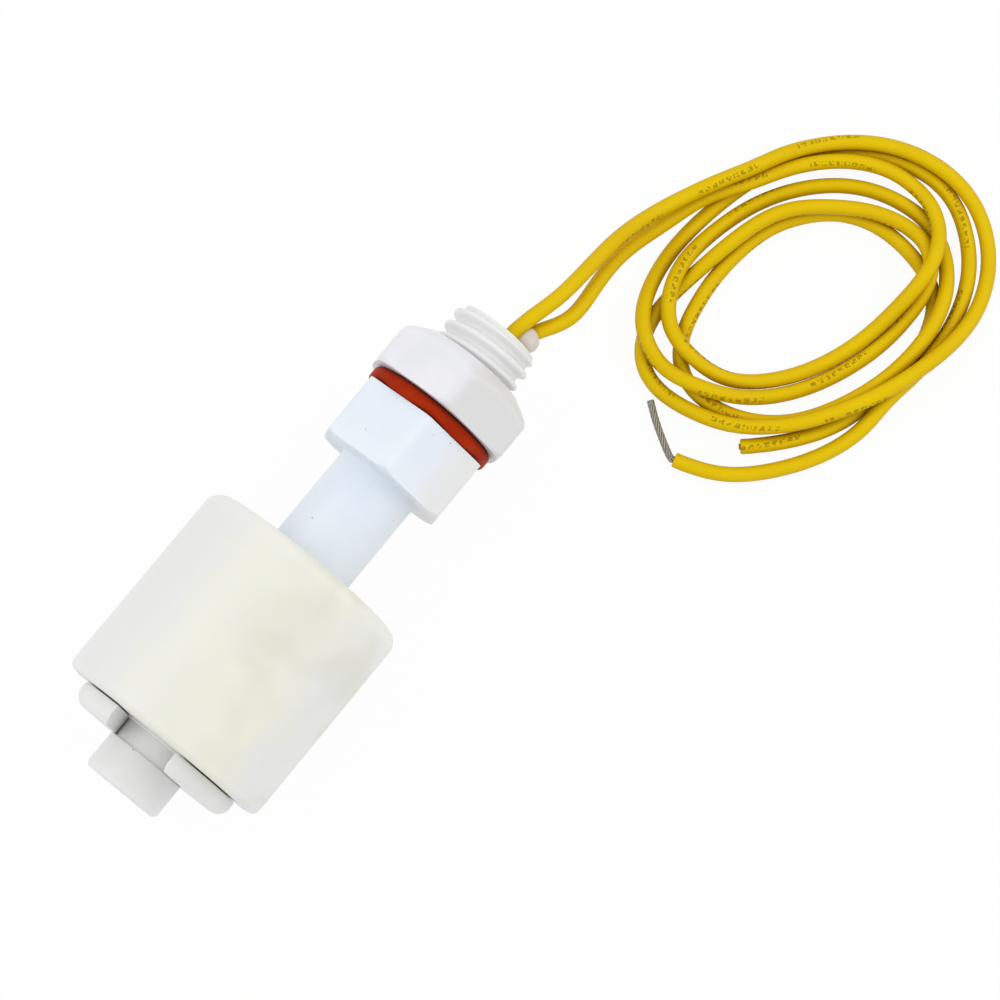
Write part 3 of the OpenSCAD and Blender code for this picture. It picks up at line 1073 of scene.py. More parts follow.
@dataclass
class ThreadedStem:
    """Stem, hexagonal flange and thread in one moulding, with its blind hole."""

    stem_r: float = 4.5
    tip_r: float = 4.3
    tip_edge: float = 0.6
    small_edge: float = 0.15
    groove_lo: float = 4.0
    groove_hi: float = 6.05
    groove_r: float = 3.9
    flange_at: float = 39.7
    flange_h: float = 6.8
    flange: HexOutline = HexOutline(13.8, -7.0, 0.2)
    flange_fillet: float = 0.3
    lower_cut: float = 0.28
    upper_cut: float = 0.04
    edge_blend: float = 0.2
    bevel_slope: float = 2.0
    edge_band: float = 0.8
    body_from: float = 1.2
    edge_rows: int = 9
    body_rows: int = 6
    thread_from: float = 53.3
    covered_r: float = 4.5
    crest_r: float = 4.8
    pitch: float = 1.5
    depth: float = 0.62
    crest_share: float = 0.78
    flank_share: float = 0.62
    fade_from: float = 0.1
    fade_mm: float = 0.7
    thread_step: float = 0.075
    thread_gap: float = 0.02
    end_chamfer: float = 0.6
    end_slope: float = 1.6
    bore_r: float = 3.0
    bore_at: float = 8.8
    bore_edge: float = 0.12
    pole_r: float = 0.02
    sides: int = 224

    def flange_ring(self, surface: RoundSurface, at: float) -> np.ndarray:
        """Radius of the flange all round at one place.

        Args:
            surface: the surface that is being built.
            at: the place along the stem.

        Returns:
            One radius for each angle.
        """
        above = at - self.flange_at
        below = self.flange_at + self.flange_h - at
        drum = self.flange.corner + self.bevel_slope * min(above - self.lower_cut,
                                                           below - self.upper_cut)
        return self.flange.radii(surface.angles(), drum, self.edge_blend)

    def thread_ring(self, surface: RoundSurface, at: float) -> np.ndarray:
        """Radius of the thread all round at one place.

        Args:
            surface: the surface that is being built.
            at: the place along the stem.

        Returns:
            One radius for each angle.
        """
        turn = np.mod(at / self.pitch + surface.angles() / math.tau, 1.0)
        away = np.abs(turn - 0.5) * 2
        ridge = smoothstep((self.crest_share - away) / self.flank_share)
        fade = float(smoothstep(np.array((STEM_LEN - self.fade_from - at) / self.fade_mm)))
        body = self.crest_r - self.depth * (1 - ridge * fade)
        cone = self.crest_r - self.end_chamfer + self.end_slope * (STEM_LEN - at)
        return np.minimum(body, cone)

    def build(self, palette: Palette) -> None:
        """Make the moulding and settle it.

        Args:
            palette: the finishes.
        """
        s = RoundSurface(self.sides)
        edge, fillet, mouth = self.small_edge, self.flange_fillet, self.bore_edge
        s.ring(0.0, self.pole_r)
        s.arc(self.tip_edge, self.tip_r - self.tip_edge, self.tip_edge, -90, 0)
        s.arc(self.groove_lo - edge, self.tip_r - edge, edge, 0, 90, steps=3)
        s.ring(self.groove_lo, self.groove_r)
        s.ring(self.groove_hi, self.groove_r)
        s.arc(self.groove_hi + edge, self.stem_r - edge, edge, -90, 0, steps=3)
        s.arc(self.flange_at - fillet, self.stem_r + fillet, -fillet, 0, -90, steps=4)
        rims = np.concatenate([np.linspace(0, self.edge_band, self.edge_rows),
                               np.linspace(self.body_from, self.flange_h - self.body_from,
                                           self.body_rows),
                               np.linspace(self.flange_h - self.edge_band, self.flange_h,
                                           self.edge_rows)])
        for rim in rims:
            s.ring(self.flange_at + rim, self.flange_ring(s, self.flange_at + rim))
        s.ring(self.flange_at + self.flange_h, self.covered_r)
        s.ring(self.thread_from, self.covered_r)
        for at in np.arange(self.thread_from, STEM_LEN - self.thread_gap, self.thread_step):
            s.ring(at, self.thread_ring(s, at))
        s.ring(STEM_LEN, self.crest_r - self.depth)
        s.arc(STEM_LEN - mouth, self.bore_r + mouth, mouth, 90, 180, steps=3)
        s.ring(self.bore_at, self.bore_r)
        s.ring(self.bore_at, self.pole_r)
        obj = s.mesh("StemMoulding", palette.stem, closed=False)
        settle_piece(obj, Body.STEM, ["stem_body"])


@dataclass
class LockNut:
    """Hexagonal lock nut with a coned, rounded outer rim."""

    at: float = 48.2
    height: float = 5.9
    outline: HexOutline = HexOutline(15.4, -10.0, 0.35)
    hole_r: float = 4.62
    sink: float = 0.5
    back_bevel: float = 0.5
    back_slope: float = 2.0
    face_r: float = 5.75
    rim_slope: float = 1.73
    edge_blend: float = 0.9
    back_band: float = 0.8
    rim_band: float = 2.8
    body_span: tuple = (1.2, 3.0)
    rows: tuple = (9, 5, 24)
    sides: int = 192

    def ring_radius(self, surface: RoundSurface, height: float) -> np.ndarray:
        """Radius of the nut all round at one height.

        Args:
            surface: the surface that is being built.
            height: the height above the nut's back face.

        Returns:
            One radius for each angle.
        """
        back = self.outline.corner - self.back_bevel + self.back_slope * height
        rim = self.face_r + self.rim_slope * (self.height - height)
        return self.outline.radii(surface.angles(), min(back, rim), self.edge_blend)

    def build(self, palette: Palette) -> None:
        """Make the nut and settle it.

        Args:
            palette: the finishes.
        """
        s = RoundSurface(self.sides)
        low, high = self.body_span
        back, body, rim = self.rows
        heights = np.concatenate([np.linspace(0, self.back_band, back),
                                  np.linspace(low, self.height - high, body),
                                  np.linspace(self.height - self.rim_band, self.height, rim)])
        for h in heights:
            s.ring(self.at + h, self.ring_radius(s, h))
        top = self.at + self.height
        s.ring(top, self.hole_r + self.sink)
        s.ring(top - self.sink, self.hole_r)
        s.ring(self.at, self.hole_r)
        obj = s.mesh("LockNut", palette.nut, closed=True)
        settle_piece(obj, Body.STEM, ["lock_nut"])


@dataclass
class SealingGasket:
    """Silicone washer, pressed a little unevenly between flange and nut.

    Each wave of its rim is a share of the squeeze, a count round the stem and a phase.
    """

    at: float = 46.5
    thickness: float = 1.7
    outer_r: float = 7.25
    hole_r: float = 4.6
    edge_r: float = 0.55
    squeeze: float = 0.09
    waves: tuple = ((0.6, 2, 0.7), (0.4, 5, 2.1))
    rows: int = 13
    sides: int = 144

    def build(self, palette: Palette) -> None:
        """Make the gasket and settle it.

        Args:
            palette: the finishes.
        """
        s = RoundSurface(self.sides)
        a = s.angles()
        mid = self.thickness / 2
        wave = self.squeeze * sum(share * np.sin(count * a + phase) for share, count, phase in self.waves)
        for deg in np.linspace(-90, 90, self.rows):
            lean = math.radians(deg)
            at = self.at + mid + (mid - self.edge_r) * np.sign(deg) + self.edge_r * math.sin(lean)
            s.ring(at, self.outer_r - self.edge_r + self.edge_r * math.cos(lean) + wave)
        s.ring(self.at + self.thickness, self.hole_r)
        s.ring(self.at, self.hole_r)
        obj = s.mesh("Gasket", palette.gasket, closed=True)
        settle_piece(obj, Body.STEM, ["gasket"])


@dataclass
class RetainingClip:
    """C-shaped clip with a rounded lower rim, which holds the float on the stem."""

    at: float = 4.03
    thickness: float = 2.12
    outer_r: float = 9.3
    inner_r: float = 3.95
    lower_edge: float = 1.4
    upper_edge: float = 0.25
    mouth: float = 7.2
    mouth_deg: float = 4.0
    cutter_h: float = 12.0
    cutter_spare: float = 1.0
    soft: float = 0.12
    soft_from_deg: float = 50.0
    sides: int = 128

    def mouth_cutter(self) -> bpy.types.Object:
        """Make the block that cuts the mouth, from the axis upwards.

        Returns:
            The block, which is removed after the cut.
        """
        turn = math.radians(self.mouth_deg)
        half, tall = self.mouth / 2, self.cutter_h
        verts = [beside_stem(at, side * math.cos(turn) + up * math.sin(turn),
                             up * math.cos(turn) - side * math.sin(turn))
                 for at in (self.at - self.cutter_spare, self.at + self.thickness + self.cutter_spare)
                 for side, up in ((-half, 0), (half, 0), (half, tall), (-half, tall))]
        return new_piece("MouthCutter", np.array(verts), ring_faces(2, 4),
                         bpy.data.materials.new("Cutter"))

    def build(self, palette: Palette) -> None:
        """Make the clip and settle it.

        Args:
            palette: the finishes.
        """
        s = RoundSurface(self.sides)
        top = self.at + self.thickness
        s.arc(self.at + self.lower_edge, self.outer_r - self.lower_edge, self.lower_edge, -90, 0, steps=8)
        s.arc(top - self.upper_edge, self.outer_r - self.upper_edge, self.upper_edge, 0, 90, steps=3)
        s.ring(top, self.inner_r)
        s.ring(self.at, self.inner_r)
        obj = s.mesh("RetainingClip", palette.clip, closed=True)
        cutter = self.mouth_cutter()
        cut = obj.modifiers.new("mouth", "BOOLEAN")
        cut.operation = "DIFFERENCE"
        cut.solver = "EXACT"
        cut.object = cutter
        bevel = obj.modifiers.new("edges", "BEVEL")
        bevel.width = self.soft * MM
        bevel.segments = 2
        bevel.limit_method = "ANGLE"
        bevel.angle_limit = math.radians(self.soft_from_deg)
        mesh = plain_mesh(obj)
        obj.modifiers.clear()
        obj.data = mesh
        bpy.data.objects.remove(cutter)
        settle_piece(obj, Body.STEM, ["retaining_clip"])


@dataclass
class ExitBead:
    """Drop of resin that holds the wires where they leave the stem."""

    centre: tuple = (29.3, -2.7, 11.8)
    size: tuple = (1.25, 1.0, 1.15)
    wobble: float = 0.12
    wobble_turn: float = 1.3
    pole: float = 0.02
    rows: int = 24
    sides: int = 32

    def build(self, palette: Palette) -> None:
        """Make the bead as an uneven drop and settle it.

        Args:
            palette: the finishes.
        """
        lat = np.linspace(self.pole, math.pi - self.pole, self.rows)
        la, lo = np.meshgrid(lat, ring_angles(self.sides), indexing="ij")
        bulge = 1 + self.wobble * (np.sin(2 * lo + self.wobble_turn) * np.sin(la)
                                   + 0.5 * np.sin(3 * la + lo))
        unit = np.stack([np.cos(la), np.sin(la) * np.cos(lo), np.sin(la) * np.sin(lo)], axis=2)
        verts = (np.array(self.centre) + unit * bulge[..., None] * np.array(self.size)).reshape(-1, 3)
        # The rings run towards the tip, so each face is turned over, the sides about their
        # first corner
        faces = [f[:1] + f[:0:-1] if len(f) == 4 else f[::-1]
                 for f in ring_faces(self.rows, self.sides)]
        obj = new_piece("ExitBead", verts * MM, faces, palette.bead)
        settle_piece(obj, Body.STEM, ["exit_bead"])


# The float


@dataclass
class HollowFloat:
    """Float shell with its ribs and its welded end cap."""

    at: float = 6.3
    height: float = 22.3
    outer_r: float = 11.65
    bore_r: float = 4.8
    tube_r: float = 5.8
    wall: float = 1.2
    upper_edge: float = 1.6
    lower_edge: float = 0.8
    bore_upper_edge: float = 0.25
    bore_lower_edge: float = 0.15
    cap_t: float = 1.8
    cap_gap: float = 0.05
    cap_edge: float = 0.2
    spigot_h: float = 0.7
    spigot_t: float = 1.4
    side_span: tuple = (0.1, 0.9)
    side_rows: int = 9
    shell_sides: int = 176
    cap_sides: int = 144

    def shell(self, palette: Palette) -> bpy.types.Object:
        """Make the shell as one closed skin.

        Args:
            palette: the finishes.

        Returns:
            The shell.
        """
        s = RoundSurface(self.shell_sides)
        low, high = self.at, self.at + self.height
        inner = self.outer_r - self.wall
        upper, lower = self.bore_upper_edge, self.bore_lower_edge
        s.arc(low + self.lower_edge, self.outer_r - self.lower_edge, self.lower_edge, -90, 0)
        for share in np.linspace(*self.side_span, self.side_rows):
            s.ring(low + share * self.height, self.outer_r)
        s.arc(high - self.upper_edge, self.outer_r - self.upper_edge, self.upper_edge, 0, 90, steps=10)
        s.arc(high - upper, self.bore_r + upper, upper, 90, 180, steps=3)
        s.arc(low + lower, self.bore_r + lower, lower, 180, 270, steps=3)
        s.ring(low, self.tube_r)
        s.ring(high - self.wall, self.tube_r)
        s.ring(high - self.wall, inner)
        s.ring(low, inner)
        return s.mesh("FloatShell", palette.float_skin, closed=True)

    def cap(self, palette: Palette) -> bpy.types.Object:
        """Make the end cap with its raised rim.

        Args:
            palette: the finishes.

        Returns:
            The cap.
        """
        s = RoundSurface(self.cap_sides)
        inner = self.tube_r + self.cap_gap
        outer = self.outer_r - self.wall - self.cap_gap
        s.arc(self.at + self.cap_edge, outer - self.cap_edge, self.cap_edge, -90, 0, steps=3)
        s.ring(self.at + self.cap_t, outer)
        s.ring(self.at + self.cap_t, inner + self.spigot_t)
        s.ring(self.at + self.cap_t + self.spigot_h, inner + self.spigot_t)
        s.ring(self.at + self.cap_t + self.spigot_h, inner)
        s.ring(self.at, inner)
        return s.mesh("FloatCap", palette.float_skin, closed=True)

    def build(self, palette: Palette) -> None:
        """Make the float's pieces and settle them.

        Args:
            palette: the finishes.
        """
        settle_piece(self.shell(palette), Body.FLOAT, ["float_shell"])
        settle_piece(self.cap(palette), Body.FLOAT, ["float_cap"])
        settle_piece(RibRing().build(palette.float_skin), Body.FLOAT, [])


# The loose wires


@dataclass
class CoilBand:
    """Outer and inner edge of the loose coil, in millimetres beyond the thread's end."""

    outer: tuple = (
        (39.8, -12.6), (42.8, -16.4), (44.4, -20.8), (44.4, -25.5), (42.5, -30), (38.5, -34),
        (33, -36), (26.5, -35.6), (19.5, -33.4), (12.5, -29), (8.3, -23.9), (7, -19), (7, -14.1),
        (9.4, -9.7), (13.5, -7.1), (20, -6), (28.8, -7.1), (35.3, -9.2))
    inner: tuple = (
        (33, -17.9), (34.3, -21.3), (34.4, -24.4), (33.8, -26.4), (32.4, -27.3), (30.8, -27.7),
        (28.5, -27.6), (24.5, -26.9), (20.5, -25.4), (17.3, -23.4), (14, -20), (12.8, -17.3),
        (12.8, -15.2), (13.8, -13.8), (16.3, -13), (21, -12.5), (27, -13.3), (30.2, -15.2))

    def edge(self, points: tuple, station: float) -> np.ndarray:
        """Find a place on one edge.

        Args:
            points: the edge's points, in order round the loop.
            station: how far round, one for each point.

        Returns:
            The place as [x, y].
        """
        i = math.floor(station)
        near = (np.array(points[(i + k) % len(points)], float) for k in (-1, 0, 1, 2))
        return between(*near, station - i)

    def lane(self, station: float, share: float) -> np.ndarray:
        """Find the place of a lane between the edges.

        Args:
            station: how far round the loop.
            share: nought at the outer edge, one at the inner edge.

        Returns:
            The place as [x, y].
        """
        return (1 - share) * self.edge(self.outer, station) + share * self.edge(self.inner, station)


@dataclass
class LooseWire:
    """One yellow wire: a lead, its turns of the coil, and a tail.

    A lane is a station round the coil with its share of the way to the inner edge, and a
    layer is a station with its height in the heap.
    """

    name: str
    start: tuple
    lead: tuple
    lanes: tuple
    tail: tuple
    layers: tuple
    print_start: float = 0.0
    diameter: float = WIRE_D
    spacing: float = 0.4
    station_step: float = 0.5
    station_slack: float = 0.01
    stiffness_mm: float = 1.9
    held_mm: float = 2.0

    def plan(self, band: CoilBand) -> tuple[np.ndarray, np.ndarray]:
        """Lay the wire out from its exit to its end.

        Args:
            band: the coil's edges.

        Returns:
            The path's points in millimetres, and each point's layer in the heap.
        """
        stations, shares = np.array(self.lanes).T
        first, last = stations[0], stations[-1]
        marks = np.arange(first, last + self.station_slack, self.station_step)
        turns = [(*band.lane(mark, share), self.diameter / 2, mark)
                 for mark, share in zip(marks, np.interp(marks, stations, shares))]
        lead = [(*p, first - 1.0) for p in self.start + self.lead]
        tail = [(*p, last + 1.0) for p in self.tail]
        curve = even_spacing(smooth_curve(np.array(lead + turns + tail)), self.spacing)
        order = np.arange(len(curve))
        ease = smoothstep(np.minimum(order, order[::-1]) / (self.held_mm / self.spacing))
        curve = curve + (blur(curve, self.stiffness_mm / self.spacing) - curve) * ease[:, None]
        marks, heights = np.array(self.layers).T
        return curve[:, :3], np.interp(curve[:, 3], marks, heights)


@dataclass
class Heap:
    """Rests the wires on the table and on each other where they cross."""

    hump_mm: float = 5.0
    round_mm: float = 1.0
    rounds: int = 10
    own_reach: int = 12
    slack: float = 1.02

    def contacts(self, paths: list[np.ndarray], layers: list[np.ndarray]) -> tuple[np.ndarray, np.ndarray]:
        """Find which point lies on which.

        Args:
            paths: the wires' points in millimetres.
            layers: each point's layer; the higher of two lies on top.

        Returns:
            For each pair of points, whether the first lies on the second, and by how much it is raised.
        """
        points, layer = np.vstack(paths), np.concatenate(layers)
        wire = np.concatenate([np.full(len(p), i) for i, p in enumerate(paths)])
        order = np.concatenate([np.arange(len(p)) for p in paths])
        gap = np.linalg.norm(points[:, None, :2] - points[None, :, :2], axis=2)
        same = (wire[:, None] == wire[None, :]) & (np.abs(order[:, None] - order[None, :]) < self.own_reach)
        rise = np.sqrt(np.clip(WIRE_D ** 2 - gap ** 2, 0, None)) * self.slack
        return (gap < WIRE_D) & ~same & (layer[:, None] > layer[None, :]), rise

    def humps(self, need: np.ndarray, low: np.ndarray, step: float) -> np.ndarray:
        """Spread a wire's lifts into long low humps.

        Args:
            need: the least height at each point.
            low: the height without any lift.
            step: the distance between points.

        Returns:
            The wire's heights.
        """
        reach = int(self.hump_mm / step)
        shape = np.cos(np.arange(-reach, reach + 1) / (reach + 1) * math.pi / 2) ** 2
        bump = np.pad(need - low, reach, mode="edge")
        views = np.stack([bump[k:k + len(low)] * share for k, share in enumerate(shape)])
        return np.maximum(blur(low + views.max(axis=0), self.round_mm / step), low)

    def settle(self, paths: list[np.ndarray], layers: list[np.ndarray]) -> list[np.ndarray]:
        """Lift each wire over the ones below it.

        Args:
            paths: the wires' points in millimetres.
            layers: each point's layer; the higher of two lies on top.

        Returns:
            The wires' points with their heights settled.
        """
        touch, rise = self.contacts(paths, layers)
        floors = [p[:, 2] for p in paths]
        cuts = np.cumsum([len(p) for p in paths])[:-1]
        step = np.linalg.norm(paths[0][1, :2] - paths[0][0, :2])
        heights = floors
        for _ in range(self.rounds):
            lifted = np.where(touch, np.concatenate(heights)[None, :] + rise, -1.0).max(axis=1)
            need = np.split(np.maximum(lifted, np.concatenate(floors)), cuts)
            heights = [self.humps(own, low, step) for own, low in zip(need, floors)]
        return [np.column_stack([p[:, :2], height]) for p, height in zip(paths, heights)]


@dataclass
class WireTube:
    """Turns a wire's path into a tube with its own map for the print."""

    name: str
    path: np.ndarray
    print_start: float = 0.0
    sides: int = 14
    end_share: float = 0.86
    end_mm: float = 0.1
    end_turn: float = 0.75

    def directions(self) -> tuple[np.ndarray, np.ndarray, np.ndarray]:
        """Directions at each point of the path.

        Returns:
            The directions ahead, sideways and upwards, one row for each point.
        """
        ahead = np.gradient(self.path, axis=0)
        ahead /= np.linalg.norm(ahead, axis=1)[:, None]
        side = np.cross(np.array([0.0, 0.0, 1.0]), ahead)
        side /= np.linalg.norm(side, axis=1)[:, None]
        return ahead, side, np.cross(ahead, side)

    def add_map(self, mesh: bpy.types.Mesh, run: np.ndarray) -> None:
        """Give the tube a map that runs in turns and in millimetres.

        Args:
            mesh: the tube's mesh.
            run: how far along the wire each ring lies.
        """
        n = self.sides
        coords = [place for i in range(len(run) - 1) for k in range(n)
                  for place in ((k / n, run[i]), ((k + 1) / n, run[i]),
                                ((k + 1) / n, run[i + 1]), (k / n, run[i + 1]))]
        coords += [(self.end_turn, 0.0)] * n + [(self.end_turn, float(run[-1]))] * n
        layer = mesh.uv_layers.new(name="wire")
        layer.data.foreach_set("uv", np.array(coords, dtype=np.float32).ravel())

    def build(self, material: bpy.types.Material) -> bpy.types.Object:
        """Make the tube, with slightly rounded cut ends.

        Args:
            material: the insulation.

        Returns:
            The tube.
        """
        ahead, side, up = self.directions()
        path, side, up, run = (np.concatenate([v[:1], v, v[-1:]]) for v in
                               (self.path, side, up, distances(self.path) + self.print_start))
        path[1] += ahead[0] * self.end_mm
        path[-2] -= ahead[-1] * self.end_mm
        radii = np.full(len(path), WIRE_D / 2)
        radii[[0, -1]] *= self.end_share
        a = ring_angles(self.sides)
        ring = (np.cos(a)[None, :, None] * side[:, None, :] + np.sin(a)[None, :, None] * up[:, None, :])
        verts = (path[:, None, :] + radii[:, None, None] * ring).reshape(-1, 3) * MM
        obj = new_piece(self.name, verts, ring_faces(len(path), self.sides), material)
        self.add_map(obj.data, run)
        return obj


@dataclass
class WirePair:
    """The two loose wires, the bare end of one and the cut end of the other."""

    band: CoilBand = field(default_factory=CoilBand)
    bare_route: tuple = ((2.8, -20.5, 0.8), (2.7, -20.15, 0.8), (3.4, -18.8, 0.8), (4.7, -16.7, 0.7),
                         (6.1, -14.8, 0.6))
    bare_step: float = 0.3
    core_step: float = 0.2
    core_shows: float = 0.35
    path_step: float = 0.45

    def wire_a(self) -> LooseWire:
        """Lay out the wire that leaves higher up and ends in a bare tinned core.

        Returns:
            The first wire, before it is settled.
        """
        return LooseWire(
            name="WireA",
            print_start=30.0,
            start=((0.0, -1.15, 12.35), (2.2, -1.15, 12.35)),
            lead=((5.1, -2.1, 11.9), (7.7, -2.4, 11.1), (10.3, -2.4, 10), (12.8, -2.4, 8.8),
                  (15.3, -2.4, 7.6), (17.8, -2.7, 6.3), (20.2, -3.2, 5.1), (22.6, -3.9, 4.1),
                  (25.0, -4.9, 3.3), (27.4, -6.1, 2.8)),
            lanes=((-1.6, 0.07), (0, 0.09), (2, 0.09), (3, 0.07), (4, 0.03), (4.6, 0.04), (5.5, 0.07),
                   (7.5, 0.13), (8.5, 0.16), (9.5, 0.16), (11.3, 0.12), (12, 0.06), (12.6, 0.04),
                   (13.2, 0.2), (13.7, 0.32), (14.2, 0.46), (15, 0.69), (16, 0.78), (16.8, 0.79),
                   (17.6, 0.88), (18, 0.9), (18.6, 0.86), (20, 0.77), (21, 0.69), (23, 0.69),
                   (24, 0.73), (25, 0.7), (26, 0.68), (27, 0.64), (28, 0.6), (29, 0.53),
                   (29.5, 0.46), (30, 0.38), (30.5, 0.29), (31, 0.2), (31.6, 0.13), (33, 0.1),
                   (34, 0.12), (36, 0.2), (37, 0.2), (38, 0.18), (39, 0.19), (39.8, 0.24), (41.6, 0.27),
                   (42.4, 0.22), (43, 0.15), (43.6, 0.08)),
            tail=((20.6, -33.4, 0.8), (17.8, -33.7, 0.8), (14.9, -32.9, 0.8), (12.1, -31.7, 0.8),
                  (9.3, -29.9, 0.8), (6.9, -27.9, 0.8), (5.0, -25.9, 0.8), (3.6, -23.3, 0.8),
                  (2.8, -20.5, 0.8)),
            layers=((-9, 6), (10.8, 6), (11.6, 1.5), (27.5, 1.5), (28.5, 3), (34, 3), (35.5, 0.8),
                    (46, 0.8)))

    def wire_b(self) -> LooseWire:
        """Lay out the wire that leaves lower down and ends in a blunt cut.

        Returns:
            The second wire, before it is settled.
        """
        return LooseWire(
            name="WireB",
            print_start=98.0,
            start=((0.0, -2.0, 10.9), (2.2, -2.0, 10.9)),
            lead=((4.4, -4.1, 10.4), (6.6, -4.5, 9.6), (9.1, -4.1, 8.6), (11.6, -3.7, 7.3),
                  (14.1, -3.5, 5.9), (16.5, -3.6, 4.5), (18.9, -4.1, 3.3), (21.3, -4.6, 2.3),
                  (23.8, -5.2, 1.4), (26.4, -6.1, 0.9)),
            lanes=((-1.8, 0.2), (-1, 0.28), (0, 0.31), (1.8, 0.34), (2.6, 0.43), (3, 0.47),
                   (3.5, 0.55), (4, 0.64), (4.5, 0.74), (5, 0.82), (5.6, 0.88), (6.5, 0.9),
                   (8, 0.88), (10, 0.84), (11.5, 0.88), (12, 0.86), (12.6, 0.79), (13, 0.68),
                   (13.5, 0.57), (14, 0.47), (14.6, 0.38), (15, 0.36), (15.6, 0.4), (16, 0.46),
                   (17, 0.54), (18, 0.57), (20, 0.57), (22, 0.52), (23, 0.5), (24, 0.43),
                   (25, 0.33), (26, 0.26), (27, 0.22), (27.6, 0.27), (28.2, 0.34), (29, 0.41),
                   (29.5, 0.5), (30, 0.64), (30.5, 0.77), (31, 0.85), (32, 0.9), (36, 0.91),
                   (38.6, 0.92), (39.3, 0.88), (40, 0.8), (40.6, 0.7), (41.2, 0.6), (41.8, 0.5),
                   (42.4, 0.4), (43, 0.29), (43.6, 0.17)),
            tail=((17.9, -31.9, 0.8), (14.1, -30.2, 0.8), (11.2, -28.0, 0.8), (9.5, -26.5, 0.8),
                  (8.1, -24.9, 0.8)),
            layers=((-9, 5.5), (6, 5), (15, 4), (20, 3.5), (24, 2.5), (28.3, 2.5), (29, 1), (46, 0.5)))

    def ends(self, path_b: np.ndarray, palette: Palette) -> tuple[bpy.types.Object, bpy.types.Object]:
        """Make the bare end of the first wire and the core that shows in the second's cut.

        Args:
            path_b: the second wire's path.
            palette: the finishes.

        Returns:
            The tinned strands and the cut core.
        """
        bare = np.array(self.bare_route) + (THREAD_END_X, 0.0, 0.0)
        strands = StrandBundle("TinnedStrands").build(
            even_spacing(smooth_curve(bare), self.bare_step), palette.tinned)
        settle_piece(strands, Body.STEM, ["tinned_end"])
        core_line = np.array([path_b[-3], path_b[-1] + (path_b[-1] - path_b[-2]) * self.core_shows])
        core = StrandBundle("CutCore", bundle_r=0.2, strand_r=0.11, turns=0.05).build(
            even_spacing(core_line, self.core_step), palette.copper)
        settle_piece(core, Body.STEM, [])
        return strands, core

    def build(self, palette: Palette) -> None:
        """Make both wires with their ends and settle them.

        Args:
            palette: the finishes.
        """
        wires = [self.wire_a(), self.wire_b()]
        plans = [w.plan(self.band) for w in wires]
        settled = Heap().settle([p for p, _ in plans], [h for _, h in plans])
        paths = [even_spacing(p, self.path_step) + (THREAD_END_X, 0.0, 0.0) for p in settled]
        nodes = (["wire_a_lead", "wire_coil", "wire_a_tail"], ["wire_b_lead", "wire_coil", "wire_b_tail"])
        for wire, path, end, stands_for in zip(wires, paths, self.ends(paths[1], palette), nodes):
            tube = WireTube(wire.name, path, wire.print_start).build(palette.insulation)
            settle_piece(tube, Body.STEM, stands_for)


# What is sealed in


@dataclass
class SealedInside:
    """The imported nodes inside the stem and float, which keep their shapes and get a finish."""

    def build(self, palette: Palette) -> None:
        """Dress each node that stays.

        Args:
            palette: the finishes.
        """
        finishes = {
            "ring_magnet": palette.ferrite, "reed_glass": palette.glass,
            "reed_lead_upper": palette.reed, "reed_lead_lower": palette.reed,
            "reed_blade_upper": palette.reed, "reed_blade_lower": palette.reed,
            "bare_core_a": palette.copper, "bare_core_b": palette.copper,
            "solder_upper": palette.solder, "solder_lower": palette.solder,
            "shrink_sleeve": palette.sleeve, "wire_a_inside": palette.insulation,
            "wire_b_inside": palette.insulation, "resin_fill": palette.resin,
        }
        for name, material in finishes.items():
            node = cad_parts[name]
            obj = node if isinstance(node, bpy.types.Object) else bpy.data.objects[name]
            obj.data.materials.clear()
            obj.data.materials.append(material)
            LOG.info("node %s dressed as %s", name, material.name)


# The photograph's setting


def aim(obj: bpy.types.Object, back: Vector) -> None:
    """Turn a camera or a lamp so that it looks away from a direction."""
    obj.rotation_mode = "QUATERNION"
    obj.rotation_quaternion = back.to_track_quat("Z", "Y")


@dataclass
class Camera:
    """The camera at the photograph's viewing angle."""

    azimuth_deg: float = -51.0
    elevation_deg: float = 80.0
    distance: float = 359.3
    target: tuple = (16.8, -9.3, 0.0)
    lens: float = 127.3
    sensor: float = 36.0
    clip_start: float = 0.01

    def build(self) -> None:
        """Place the camera and make it the scene's own."""
        a, e = math.radians(self.azimuth_deg), math.radians(self.elevation_deg)
        back = Vector((math.sin(a) * math.cos(e), -math.cos(a) * math.cos(e), math.sin(e)))
        data = bpy.data.cameras.new("Camera")
        data.lens = self.lens
        data.sensor_width = self.sensor
        data.clip_start = self.clip_start
        obj = in_scene("Camera", data)
        obj.location = (Vector(self.target) + back * self.distance) * MM
        aim(obj, back)
        bpy.context.scene.camera = obj


@dataclass(frozen=True)
class Lamp:
    """A soft square lamp that faces the part, with its place and side in metres."""

    name: str
    place: tuple
    side: float
    watts: float

    def build(self) -> None:
        """Hang the lamp."""
        data = bpy.data.lights.new(self.name, "AREA")
        data.size = self.side
        data.energy = self.watts
        obj = in_scene(self.name, data)
        obj.location = self.place
        aim(obj, Vector(self.place))


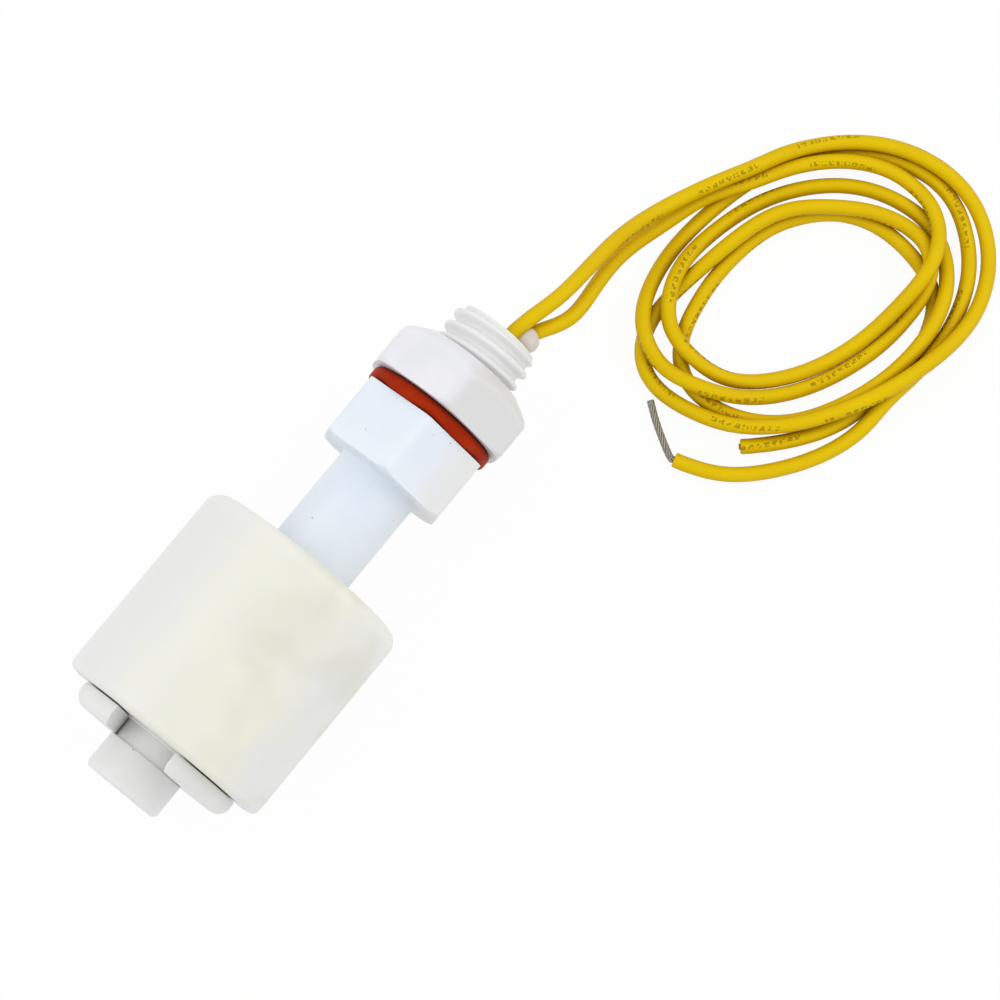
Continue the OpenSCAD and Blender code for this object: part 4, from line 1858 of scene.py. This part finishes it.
@dataclass
class Studio:
    """White table, white surroundings and soft lamps."""

    ambient: float = 0.82
    white_share: float = 0.94
    white: Hex = "#FFFFFF"
    board: Hex = "#F4F4F4"
    half_side: float = 1.5
    lamps: tuple = (Lamp("KeyLamp", (-0.12, 0.32, 0.38), 0.3, 0.4),
                    Lamp("FillLamp", (0.3, -0.25, 0.35), 0.4, 0.55))

    def seen(self, tree: bpy.types.NodeTree) -> Socket:
        """Tell the rays that see the background from those that only bring light.

        Args:
            tree: the tree that gets the nodes.

        Returns:
            A socket that is one for camera, mirror and glass rays.
        """
        rays = add(tree, "ShaderNodeLightPath").outputs
        return formula(tree, rays["Is Camera Ray"], ("MAXIMUM", rays["Is Glossy Ray"]),
                       ("MAXIMUM", rays["Is Transmission Ray"]))

    def surroundings(self) -> None:
        """Make the world white where it is seen and dimmer where it lights."""
        world = bpy.data.worlds.new("Surroundings")
        bpy.context.scene.world = world
        world.use_nodes = True
        tree = world.node_tree
        tree.nodes.clear()
        dim, full = (add(tree, "ShaderNodeBackground", {"Color": self.white, "Strength": strength})
                     for strength in (self.ambient, 1.0))
        mix = add(tree, "ShaderNodeMixShader",
                  {0: self.seen(tree), 1: dim.outputs[0], 2: full.outputs[0]})
        add(tree, "ShaderNodeOutputWorld", {0: mix.outputs[0]})

    def table(self) -> None:
        """Lay the white table top, which keeps a part of the shadow."""
        mat = bpy.data.materials.new("TableWhite")
        mat.use_nodes = True
        tree = mat.node_tree
        tree.nodes.clear()
        part = formula(tree, self.seen(tree), ("MULTIPLY", self.white_share))
        board = add(tree, "ShaderNodeBsdfDiffuse", {"Color": self.board})
        glow = add(tree, "ShaderNodeEmission", {"Color": self.white, "Strength": 1.0})
        mix = add(tree, "ShaderNodeMixShader", {0: part, 1: board.outputs[0], 2: glow.outputs[0]})
        add(tree, "ShaderNodeOutputMaterial", {0: mix.outputs[0]})
        half = self.half_side
        verts = np.array([(-half, -half, 0), (half, -half, 0), (half, half, 0), (-half, half, 0)])
        new_piece("Table", verts, [(0, 1, 2, 3)], mat)

    def build(self) -> None:
        """Set the surroundings, the table and the lamps."""
        self.surroundings()
        self.table()
        for lamp in self.lamps:
            lamp.build()
        bpy.context.scene.view_settings.view_transform = "Standard"


def main() -> None:
    """Build the scene piece by piece."""
    logging.basicConfig(level=logging.INFO, format="%(message)s")
    palette = Palette.build()
    Camera().build()
    WirePair().build(palette)
    Studio().build()
    for piece in (ThreadedStem(), LockNut(), SealingGasket(), RetainingClip(), HollowFloat(),
                  ExitBead(), SealedInside()):
        piece.build(palette)


if __name__ == "__main__":
    main()
